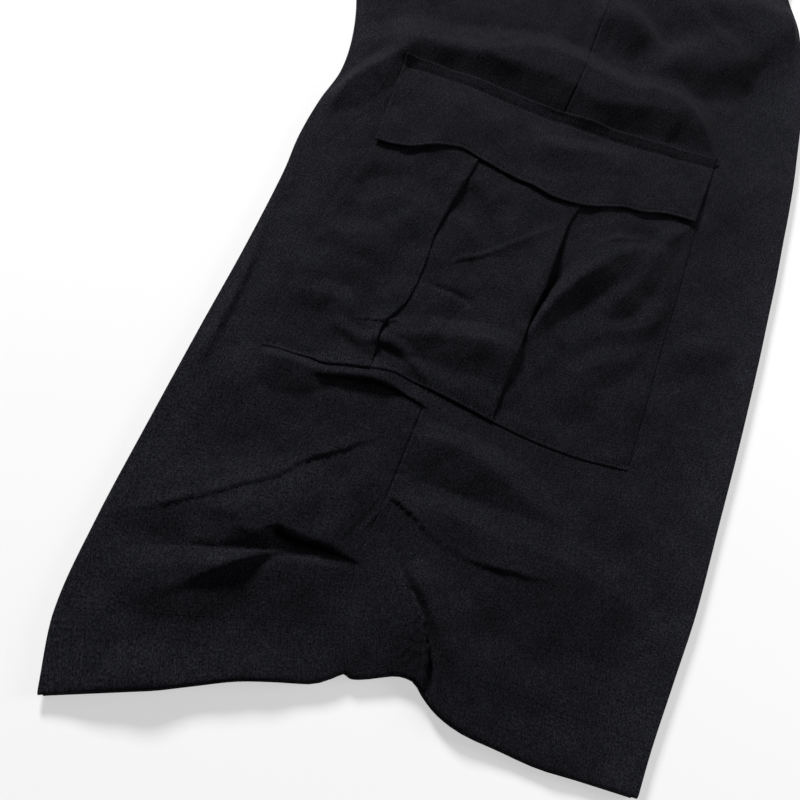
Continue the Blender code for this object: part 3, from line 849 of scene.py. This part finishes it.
def panel_shares(leg, side):
    """A panel's columns from the side seam to the fold, as shares of its reach."""
    count = int(USUAL_REACH / COLUMN_SPACING[leg])
    beside_seam = np.linspace(0, SEAM_SHARE, SEAM_COLUMNS + 1)[:-1]
    span = np.linspace(SEAM_SHARE, 1, 300)
    crowding = np.cumsum(1 + COLUMN_CROWDING[side] * (1 - ramp(span, *CROWDED_TO)))
    crowding = (crowding - crowding[0]) / (crowding[-1] - crowding[0])
    beyond = np.interp(np.linspace(0, 1, count - SEAM_COLUMNS), crowding, span)
    return np.concatenate([beside_seam, beyond])


def panel(leg, side):
    """Grid of points of one panel, the same points on the flat cloth, and how much painted sheen
    lightens each.
    """
    heights, insets = panel_rows(leg)
    shares = panel_shares(leg, side)
    outer_count = len(shares)
    seam, edge = seam_and_edge(side, heights)
    length = np.hypot(*(edge - seam).T)
    out = (edge - seam) / length[:, None]
    full_reach = length - FOLD_RADIUS - WALL / 2
    reach = full_reach - (LEG_INSET if leg == "right" else 0)
    outward = OUTWARD[leg]
    start = -SEAM_LAP if side == "front" else 0.0

    turns = np.linspace(0, math.pi, FOLD_STEPS + 1)[1:-1]
    inner = np.concatenate([
        np.linspace(1, INNER_MIDDLE, 4), np.linspace(INNER_MIDDLE, 0, 15)[1:],
    ])
    away_outer = np.minimum(start + np.outer(full_reach - start, shares), reach[:, None])
    away_fold = reach[:, None] + (FOLD_RADIUS - insets) * np.sin(turns)
    kept = inner_share(heights, reach)[:, None]
    away_inner = reach[:, None] * (1 - kept) + kept * np.outer(reach, inner)
    away = np.concatenate([away_outer, away_fold, away_inner], axis=1)
    x = seam[:, :1] + out[:, :1] * away
    y = seam[:, 1:] + out[:, 1:] * away
    fade = np.clip(1 - (heights - HEM_HEIGHT) / HEM_LIFT_FADE, 0, 1)[:, None] ** 2
    y += fade * through(HEM_LIFT, 0, 1, x.ravel()).reshape(x.shape)

    turn_length = np.cumsum(np.full(len(turns), FOLD_RADIUS * math.pi / FOLD_STEPS))
    run = np.concatenate([
        away_outer,
        reach[:, None] + turn_length,
        reach[:, None] * 2 + FOLD_RADIUS * math.pi - away_inner,
    ], axis=1)
    up_cloth = np.where(insets > HEM_TURN, -heights[:, None], heights[:, None])
    flat = np.dstack([run * (-1 if side == "front" else 1), up_cloth + 0 * run])

    z_outer = layer_height(f"{leg} outer", x, y) - outward * insets
    z_inner = layer_height(f"{leg} inner", x, y) + outward * insets
    z = z_outer.copy()
    folds = slice(outer_count, outer_count + len(turns))
    tall = (z_outer - z_inner)[:, folds] / 2
    z[:, folds] = z_inner[:, folds] + tall * (1 + np.cos(turns))
    z[:, folds.stop:] = z_inner[:, folds.stop:]
    moved = moved_cloth(leg, x[:, :outer_count], y[:, :outer_count])
    if leg == "right":
        moved[..., 2] *= ramp(heights, HEM_HEIGHT, HEM_HEIGHT + CALM_HEM)[:, None]
    relief = seam_relief(away_outer, y[:, :outer_count], side)
    relief *= (0.25 + 0.75 * ramp(heights, *PUCKERED_FROM))[:, None]
    relief *= (1 - 0.75 * bell(heights, *PUCKERLESS))[:, None]
    moved[..., 2] += relief * SEAM_RELIEF[leg]
    moved *= np.clip((1 - shares) * HELD_EDGE, 0, 1)[None, :, None]
    x[:, :outer_count] += moved[..., 0]
    y[:, :outer_count] += moved[..., 1]
    z[:, :outer_count] += moved[..., 2]
    z[:, :outer_count] -= outward * PANEL_SINK * under_pocket(x, y)[:, :outer_count]
    # Painted sheen: the cloth's colour is lightened towards the folded edge of the leg, as if
    # light caught it there
    painted_sheen = np.exp(np.minimum(away - reach[:, None], 0) / PAINTED_SHEEN_REACH)
    return np.dstack([x, y, z]), flat, painted_sheen * PAINTED_EDGE_SHEEN[side]


def under_pocket(x, y):
    """1 where a pocket hides its panel, 0 elsewhere."""
    near, far = HIDDEN_FROM
    foot = through(POCKET_FOOT, 0, 1, x)
    inside = ramp(x, POCKET_LEFT + near, POCKET_LEFT + far)
    inside *= 1 - ramp(x, POCKET_RIGHT - far, POCKET_RIGHT - near)
    return inside * ramp(y, foot + near, foot + far) * (1 - ramp(y, *HIDDEN_TO))


def on_panel(leg, x, y, rise):
    """Places of points that lie a little way out from the outer cloth of a leg."""
    moved = moved_cloth(leg, x, y)
    z = layer_height(f"{leg} outer", x, y) + OUTWARD[leg] * rise
    points = np.dstack([x, y, z]) + moved
    if leg == "right":
        points[..., 2] = np.maximum(points[..., 2], WALL / 2)
    return points


def ramp(at, begin, end):
    """Soft step from 0 to 1."""
    t = np.clip((at - begin) / (end - begin), 0, 1)
    return t * t * (3 - 2 * t)


def pleated(left_edge, edges, gapes, lay, spacing):
    """Across the pocket, row by row: places, heights over the panel and run of cloth."""
    first, step = lay
    rows = len(edges)
    half_turn = np.linspace(0, math.pi, PLEAT_STEPS + 1)[1:-1]
    begin = left_edge.copy()
    rise_from = begin + FLAT_BEFORE["first pleat"]
    xs, zs = [], []
    for edge, gape in zip(edges.T[:, :, None], gapes.T[:, :, None]):
        lip, tuck = first + 2 * step + gape, edge - PLEAT_DEPTH
        count = int((edge.mean() - begin.mean()) / spacing)
        shares = np.linspace(0, 1, count)
        level = begin[:, None] + (edge - PLEAT_EDGE_ROOM - begin[:, None]) * shares
        climb = ramp(level, rise_from[:, None], edge - PLEAT_CLIMB)
        xs.append(level)
        zs.append(first + 2 * step * climb + gape * bell(level, edge, GAPE_REACH))
        middle, tall = (lip + first + step) / 2, (lip - first - step) / 2
        xs.append(edge - PLEAT_EDGE_ROOM + (PLEAT_FOLD + 0.1 * gape) * np.sin(half_turn))
        zs.append(middle + tall * np.cos(half_turn))
        back = np.linspace(0, 1, PLEAT_BACK_COLUMNS)
        xs.append(edge - PLEAT_EDGE_ROOM + (tuck - edge + 2 * PLEAT_EDGE_ROOM) * back)
        zs.append(np.full((rows, PLEAT_BACK_COLUMNS), first + step))
        xs.append(tuck + PLEAT_EDGE_ROOM - PLEAT_FOLD * np.sin(half_turn))
        zs.append(np.full((rows, 1), first + step / 2) + step / 2 * np.cos(half_turn))
        begin = (tuck + 0.5)[:, 0]
        rise_from = begin + FLAT_BEFORE["next pleat"]
    count = int((POCKET_RIGHT - begin.mean()) / spacing)
    xs.append(begin[:, None] + (POCKET_RIGHT - begin[:, None]) * np.linspace(0, 1, count))
    zs.append(np.full((rows, count), first))
    x, z = (np.concatenate([np.broadcast_to(p, (rows, p.shape[-1])) for p in parts], axis=1)
            for parts in (xs, zs))
    run = np.hypot(np.diff(x, axis=1), np.diff(z, axis=1)).cumsum(axis=1)
    return x, z, np.column_stack([np.zeros(rows), run])


def pocket(leg, spacing):
    """Grid of points of one cargo pocket, from its foot to its mouth under the flap."""
    foot_line = POCKET_FOOT[:, 1].mean()
    shares = np.linspace(0, 1, int((POCKET_TOP - foot_line) / spacing))[:, None]
    line = foot_line + (POCKET_TOP - foot_line) * shares
    edges = through(PLEATS, 0, 1, line), through(PLEATS, 0, 2, line)
    gapes = through(PLEATS, 0, 3, line), through(PLEATS, 0, 4, line)
    gaping = 1.0 if leg == "left" else 0.0
    left_edge = POCKET_LEFT + POCKET_TAPER * ramp(line, *TAPERED)
    x, z, run = pleated(
        left_edge[:, 0], np.hstack(edges), gaping * np.hstack(gapes), POCKET_LAY[leg], spacing
    )
    foot = through(POCKET_FOOT, 0, 1, x)
    y = foot + (POCKET_TOP - foot) * shares
    flat = np.dstack([run, y])
    (sunk_left, reach_left), (sunk_right, reach_right) = POCKET_SIDES_SUNK
    flush = sunk_left * np.exp(-(x - left_edge) / reach_left)
    flush += sunk_right * np.exp((x - POCKET_RIGHT) / reach_right)
    pressed = 0.5 + 0.5 * ramp(y - foot, *PRESSED_FOOT)
    rise = z * pressed + POCKET_RIM * edge_rim(y - foot) - flush
    if leg == "right":
        return on_panel(leg, x, y, z), flat
    points = on_panel(leg, x, y, rise)
    moved = creased(x, y, POCKET_CREASES)
    inside = ramp(y - foot, *SEWN_EDGE) * ramp(x - left_edge, *SEWN_EDGE)
    inside *= ramp(POCKET_RIGHT - x, *SEWN_EDGE)
    inside *= 1 - 0.8 * ramp(y - through(FLAP_FOOT, 0, 1, x), *CALM_UNDER_FLAP)
    dents = undulation(x, y, "pocket") + undulation(x, y, "fine pocket")
    points[..., 2] += dents * inside
    return points + moved * inside[..., None] ** 0.5, flat


def edge_rim(inside):
    """Puffed rim between a piece's turned-in edge and the stitches that run along it."""
    (rise, crest), (fall, groove) = RIM
    return rise * bell(inside, crest, RIM_WIDTH) - fall * bell(inside, groove, RIM_WIDTH)


def flap(leg, spacing):
    """Grid of points of one flap, from its hinge down to its foot."""
    across = np.linspace(0, 1, int(FLAP_WIDTH / spacing))
    down = np.linspace(0, 1, int(FLAP_DEPTH / spacing))[:, None]
    (left_foot, left_top), (right_foot, right_top) = FLAP_SIDES
    low = left_foot + (right_foot - left_foot) * across
    high = left_top + (right_top - left_top) * across
    top, foot = through(FLAP_TOP, 0, 1, high), through(FLAP_FOOT, 0, 1, low)
    x = high + (low - high) * down
    y = top + (foot - top) * down
    flat = np.dstack([x, y])
    first, step = POCKET_LAY[leg]
    onto = 1 - ramp(y, POCKET_TOP, POCKET_TOP + FLAP_ONTO)
    over = first + (2 * step * eased(FLAP_LEVEL, x) + FLAP_CLEARANCE) * onto
    if leg == "right":
        return on_panel(leg, x, y, over), flat
    below_top = top - y
    lower = np.clip((down - FLAP_LIFTED) / (1 - FLAP_LIFTED), 0, 1)
    lift = through(FLAP_FOOT, 0, 2, low) * lower ** 2
    groove = -GROOVE_DEPTH * bell(below_top, TOPSTITCH, GROOVE_WIDTH)
    padding = FLAP_PADDING * np.clip(1 - below_top / TOPSTITCH, 0, 1)
    inside = np.minimum(x - x[:, :1], x[:, -1:] - x)
    rim = edge_rim(np.minimum(inside, y - foot)) * FLAP_RIM
    points = on_panel(leg, x, y, over + lift + groove + padding + rim)
    return points + creased(x, y, FLAP_CREASES), flat


def waistband():
    """Grid of points round the flattened waistband, ruched by its elastic."""
    radius = (LAYERS["left outer"] - LOWEST_LAYER) / 2
    front, back = (seam_and_edge(side, WAIST_HEIGHT)[1][0] for side in ("front", "back"))
    length = np.hypot(*(back - front))
    out = (back - front) / length
    up = np.array([-out[1], out[0]])
    margin = radius + WAISTBAND_WALL / 2
    flat_run = np.linspace(margin, length - margin, int(length / WAISTBAND_SPACING))
    turn = np.linspace(0, math.pi, FOLD_STEPS + 1)[1:-1]
    away = np.concatenate([
        flat_run, length - margin + radius * np.sin(turn),
        flat_run[::-1], margin - radius * np.sin(turn),
    ])
    level = np.concatenate([
        np.ones(len(flat_run)), np.cos(turn), -np.ones(len(flat_run)), -np.cos(turn),
    ])
    climb = np.linspace(-WAISTBAND_LAP, WAISTBAND_DEPTH, WAISTBAND_ROWS)
    plan = front + np.outer(away, out)
    x = plan[:, 0] + np.outer(climb, up[:1])
    y = plan[:, 1] + np.outer(climb, up[1:])
    along = np.tile(away + BACK_RUN * (level < 0), (len(climb), 1))
    ripple = undulation(along, 0.18 * climb[:, None] + 0 * along, "waistband")
    share = np.clip(climb / WAISTBAND_DEPTH, 0, 1)
    channel = np.abs(np.sin(math.pi * WAISTBAND_CHANNELS * share))[:, None] ** 0.5
    swell = (ripple * (0.35 + 0.65 * channel) + WAISTBAND_CHANNELS_SWELL * channel) * level
    z = LAYERS["right outer"] + WAISTBAND_ROOM + radius + level * (radius + WAISTBAND_PLAY)
    z = np.maximum(z + swell, WAISTBAND_WALL / 2 + 0.05)
    run = np.concatenate([[0], np.cumsum(np.hypot(np.diff(away), np.diff(level * radius)))])
    return np.dstack([x, y, z]), np.dstack(np.meshgrid(run, climb))


def placed(name, data):
    """A new object in the scene that holds a mesh, a light or a camera."""
    piece = bpy.data.objects.new(name, data)
    bpy.context.collection.objects.link(piece)
    return piece


def cloth_object(name, points, flat, material, wall=WALL, ring=False):
    """A thin closed wall of cloth on a grid of points, with the flat cloth as its UV map."""
    rows, columns = points.shape[:2]
    index = np.arange(rows * columns).reshape(rows, columns)
    near, far = index[:, :-1], index[:, 1:]
    if ring:
        near, far = index, np.roll(index, -1, axis=1)
    faces = np.stack([near[:-1], far[:-1], far[1:], near[1:]], axis=-1).reshape(-1, 4)
    mesh = bpy.data.meshes.new(name)
    places = (points.reshape(-1, 3) + LEG_ORIGIN) * MM
    mesh.from_pydata(places.tolist(), [], faces.tolist())
    layer = mesh.uv_layers.new(name="flat cloth")
    corners = np.empty(len(mesh.loops), dtype=np.int32)
    mesh.loops.foreach_get("vertex_index", corners)
    layer.data.foreach_set("uv", (flat.reshape(-1, 2)[corners] * MM).ravel())
    mesh.materials.append(material)
    mesh.shade_smooth()
    piece = placed(name, mesh)
    thicken = piece.modifiers.new("cloth thickness", "SOLIDIFY")
    thicken.thickness = wall * MM
    thicken.offset = 0.0
    thicken.use_even_offset = True
    return piece


def surface_of(piece):
    """The finished surface of a piece, for laying stitches on it."""
    evaluated = piece.evaluated_get(bpy.context.evaluated_depsgraph_get())
    mesh = evaluated.to_mesh()
    tree = BVHTree.FromPolygons(
        [v.co.copy() for v in mesh.vertices], [tuple(p.vertices) for p in mesh.polygons]
    )
    evaluated.to_mesh_clear()
    return tree


def stitch_line(surface, path, top, verts, faces):
    """Add a run of stitches to a mesh in the making, laid on a surface along a path."""
    pitch, length, thick = STITCH
    path = np.array(path, dtype=float)
    keys = np.concatenate([[0], np.cumsum(np.hypot(*np.diff(path, axis=0).T))])
    down = Vector((0, 0, -1 if top else 1))
    start_height = -RAY_START * MM * down.z
    for begin in np.arange(STITCH_START, keys[-1] - length, pitch):
        ends = []
        for at in (begin, begin + length / 2, begin + length):
            x = np.interp(at, keys, path[:, 0]) + LEG_ORIGIN[0]
            y = np.interp(at, keys, path[:, 1]) + LEG_ORIGIN[1]
            hit = surface.ray_cast(Vector((x * MM, y * MM, start_height)), down)[0]
            if hit is not None:
                ends.append(hit)
        if len(ends) < 3 or (ends[0] - ends[2]).length > STITCH_LONGEST * length * MM:
            continue
        run = (ends[2] - ends[0]).normalized()
        side = run.cross(down).normalized() * (thick * MM / 2)
        out = side.cross(run).normalized() * (thick * MM / 2)
        first = len(verts)
        verts.append(ends[0] + down * (STITCH_SINK * MM))
        for end in (ends[0], ends[2]):
            place = end.lerp(ends[1], STITCH_THICKEST)
            verts.extend(place + side * a * STITCH_FULL + out * b * STITCH_FULL for a, b in RING)
        verts.append(ends[2] + down * (STITCH_SINK * MM))
        count = len(RING)
        near, far = first + 1, first + 1 + count
        for i in range(count):
            j = (i + 1) % count
            faces.append((first, near + j, near + i))
            faces.append((near + i, near + j, far + j, far + i))
            faces.append((far + i, far + j, far + count))


def stitches(name, runs, material):
    """One joined mesh of stitches; each run is a surface, a path and whether it is on top."""
    verts, faces = [], []
    for surface, path, top in runs:
        stitch_line(surface, path, top, verts, faces)
    mesh = bpy.data.meshes.new(name)
    mesh.from_pydata([tuple(v) for v in verts], [], faces)
    mesh.materials.append(material)
    mesh.shade_smooth()
    return placed(name, mesh)


def surfaced(name, settings):
    """A material whose shader has the given settings."""
    material = bpy.data.materials.new(name)
    material.use_nodes = True
    shader = material.node_tree.nodes["Principled BSDF"]
    for socket, value in settings.items():
        shader.inputs[socket].default_value = value
    return material


def cloth_material():
    """Black cloth: slubs along the leg, a fine grain, slight wear, a low sheen, and painted sheen
    that lightens its colour near the legs' folded edges.
    """
    material = surfaced("black cloth", CLOTH_SURFACE)
    nodes, links = material.node_tree.nodes, material.node_tree.links
    shader = nodes["Principled BSDF"]
    flat = nodes.new("ShaderNodeUVMap")
    flat.uv_map = "flat cloth"

    def made(kind, settings, sources, operation=None):
        """A node with constants on some of its sockets and other nodes linked into more."""
        node = nodes.new(kind)
        if operation:
            node.operation = operation
        for socket, value in settings.items():
            node.inputs[socket].default_value = value
        for socket, source in sources.items():
            links.new(source, node.inputs[socket])
        return node

    def pattern(kind):
        """Noise of one kind from the weave's table."""
        across, along, detail, roughness = WEAVE[kind]
        scale = {"Scale": (across, along, 1.0)}
        scaled = made("ShaderNodeMapping", scale, {"Vector": flat.outputs["UV"]})
        look = {"Scale": 1.0, "Detail": detail, "Roughness": roughness}
        texture = made("ShaderNodeTexNoise", look, {"Vector": scaled.outputs["Vector"]})
        return texture.outputs["Fac"]

    def combined(operation, first, second):
        """Another node's output joined by a calculation to a number or to an output."""
        settings, sources = {}, {0: first}
        (settings if isinstance(second, float) else sources)[1] = second
        return made("ShaderNodeMath", settings, sources, operation).outputs["Value"]

    def toned(kind):
        """A kind's noise, stretched from its middle range to run between its two tones."""
        low, high = TONE[kind]
        middle_low, middle_high = MIDDLE_RANGE
        reach = made("ShaderNodeMapRange", {
            "From Min": middle_low, "From Max": middle_high, "To Min": low, "To Max": high,
        }, {"Value": weave[kind]})
        return reach.outputs["Result"]

    weave = {kind: pattern(kind) for kind in WEAVE}
    tone = toned("slub")
    for kind in ("grain", "weft", "wear"):
        tone = combined("MULTIPLY", tone, toned(kind))
    # Painted sheen: the colour is lightened where the panels turn at their folded edges
    sheen_paint_node = nodes.new("ShaderNodeAttribute")
    sheen_paint_node.attribute_name = "painted_sheen"
    tone = combined("MULTIPLY", tone, combined("ADD", sheen_paint_node.outputs["Fac"], 1.0))
    colour = made("ShaderNodeVectorMath", {0: CLOTH_COLOUR}, {"Scale": tone}, "SCALE")
    links.new(colour.outputs["Vector"], shader.inputs["Base Color"])

    slub, grain = (combined("MULTIPLY", weave[kind], RELIEF[kind]) for kind in RELIEF)
    relief = combined("ADD", combined("ADD", slub, weave["crinkle"]), grain)
    strength = {"Strength": RELIEF_STRENGTH, "Distance": RELIEF_DEPTH}
    bump = made("ShaderNodeBump", strength, {"Height": relief})
    links.new(bump.outputs["Normal"], shader.inputs["Normal"])
    return material


def leg_origin():
    """Where the leg's own frame has its zero point, from the pocket's place in the CAD."""
    low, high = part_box("left_pocket")
    return np.array([low[0] / MM - POCKET_LEFT, high[1] / MM - POCKET_TOP, 0.0])


LEG_ORIGIN = leg_origin()


def camera():
    """The camera of the photo: its place over the leg, its tilt and its roll."""
    data = bpy.data.cameras.new("camera")
    data.lens = LENS
    data.sensor_width = SENSOR_WIDTH
    data.clip_start = NEAREST_SEEN
    eye = placed("camera", data)
    level_right = Vector((1, 0, 0))
    level_up = Vector((0, math.cos(CAMERA_TILT), math.sin(CAMERA_TILT)))
    back = Vector((0, -math.sin(CAMERA_TILT), math.cos(CAMERA_TILT)))
    right = level_right * math.cos(CAMERA_ROLL) + level_up * math.sin(CAMERA_ROLL)
    up = level_up * math.cos(CAMERA_ROLL) - level_right * math.sin(CAMERA_ROLL)
    turn = Matrix((right, up, back)).transposed().to_4x4()
    place = (Vector(CAMERA_PLACE) + Vector(LEG_ORIGIN)) * MM
    eye.matrix_world = Matrix.Translation(place) @ turn
    bpy.context.scene.camera = eye


def area_light(name, toward, distance, size, power):
    """A round soft lamp that shines on the middle of the shorts from one direction."""
    data = bpy.data.lights.new(name, "AREA")
    data.shape = "DISK"
    data.size = size
    data.energy = power
    lamp = placed(name, data)
    direction = Vector(toward).normalized()
    lamp.location = direction * distance
    lamp.rotation_euler = direction.to_track_quat("Z", "Y").to_euler()


def stage():
    """The pale plain floor that the shorts lie on."""
    mesh = bpy.data.meshes.new("floor")
    half = FLOOR_HALF
    corners = [(-half, -half, 0), (half, -half, 0), (half, half, 0), (-half, half, 0)]
    mesh.from_pydata(corners, [], [(0, 1, 2, 3)])
    floor = placed("floor", mesh)
    mesh.materials.append(surfaced("pale floor", FLOOR_SURFACE))


def world_light():
    """Even white light from all round."""
    world = bpy.data.worlds.new("studio")
    world.use_nodes = True
    back = world.node_tree.nodes["Background"]
    back.inputs["Color"].default_value = (1, 1, 1, 1)
    back.inputs["Strength"].default_value = WORLD_STRENGTH
    bpy.context.scene.world = world


def inset_line(table, inset, begin, end):
    """Points of an edge's table between two X values, moved up by an inset."""
    x = np.linspace(begin, end, PATH_POINTS)
    return np.column_stack([x, through(table, 0, 1, x) + inset])


def hem_path(side):
    """The hem's stitch line, from the side seam to the folded edge of the leg."""
    at = HEM_HEIGHT + HEM_DEPTH - ROW_INSET["hem"]
    seam, edge = seam_and_edge(side, at)
    points = seam + (edge - seam) * np.linspace(*HEM_ROW_SHARES, PATH_POINTS)[:, None]
    fade = (1 - (at - HEM_HEIGHT) / HEM_LIFT_FADE) ** 2
    points[:, 1] += fade * through(HEM_LIFT, 0, 1, points[:, 0])
    return points


def add(name, grid, material, replaced, wall=WALL, ring=False):
    """Make one cloth piece, which takes its CAD node's place."""
    points, flat = grid[:2]
    piece = cloth_object(name, points, flat, material, wall, ring)
    # A third grid holds the painted sheen that lightens the cloth's colour near the legs' folded
    # edges
    if len(grid) > 2:
        painted_sheen = piece.data.attributes.new("painted_sheen", "FLOAT", "POINT")
        painted_sheen.data.foreach_set("value", grid[2].ravel())
    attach(piece, "root")
    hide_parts(replaced)
    return piece


def declare(points, ring=False):
    """Join a ring's grid back onto its first column; nothing is kept or returned."""
    if ring:
        points = np.concatenate([points, points[:, :1]], axis=1)


def sewn_leg(leg, cloth, thread):
    """The cloth pieces of one leg and the stitches on them."""
    top = leg == "left"
    fine = POINT_SPACING[leg]
    grids = {
        "front": panel(leg, "front"),
        "back": panel(leg, "back"),
        "pocket": pocket(leg, fine),
        "flap": flap(leg, fine),
    }
    walls = {"front": WALL, "back": WALL, "pocket": WALL, "flap": FLAP_WALL}
    pieces = {
        name: add(f"{leg}_{name}_cloth", grid, cloth, f"{leg}_{name}", walls[name])
        for name, grid in grids.items()
    }
    surface = {name: surface_of(piece) for name, piece in pieces.items()}
    inset = ROW_INSET["pocket"]
    (left_foot, left_top), (right_foot, right_top) = FLAP_SIDES
    foot = inset_line(POCKET_FOOT, inset, POCKET_LEFT + inset, POCKET_RIGHT - inset)
    edge_x = POCKET_RIGHT - inset
    back_edge = [(edge_x, foot[-1, 1]), (edge_x, BACK_ROW_TOP)]
    high = inset_line(FLAP_TOP, -TOPSTITCH, left_top + ROW_ENDS, right_top - ROW_ENDS)
    low_ends = left_foot + ROW_ENDS, right_foot - ROW_ENDS
    low = inset_line(FLAP_FOOT, ROW_INSET["flap"], *low_ends)
    runs = [
        (surface["front"], hem_path("front"), top),
        (surface["back"], hem_path("back"), top),
        (surface["pocket"], foot, top),
        (surface["pocket"], back_edge, top),
        (surface["flap"], high, top),
        (surface["flap"], low, top),
    ]
    sewn = stitches(f"{leg}_leg_stitches", runs, thread)
    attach(sewn, "root")
    declare(grids["front"][0])
    declare(grids["back"][0])
    declare(grids["pocket"][0])
    declare(grids["flap"][0])


def main():
    """Dress the shorts, then set the camera, the floor and the light."""
    cloth, thread = cloth_material(), surfaced("black thread", THREAD_SURFACE)
    for leg in ("left", "right"):
        sewn_leg(leg, cloth, thread)
    band = waistband()
    piece = add("waistband_cloth", band, cloth, "waistband", WAISTBAND_WALL, ring=True)
    declare(band[0], ring=True)
    camera()
    stage()
    world_light()
    for lamp in LAMPS:
        area_light(*lamp)
    bpy.context.scene.view_settings.view_transform = "Standard"


main()
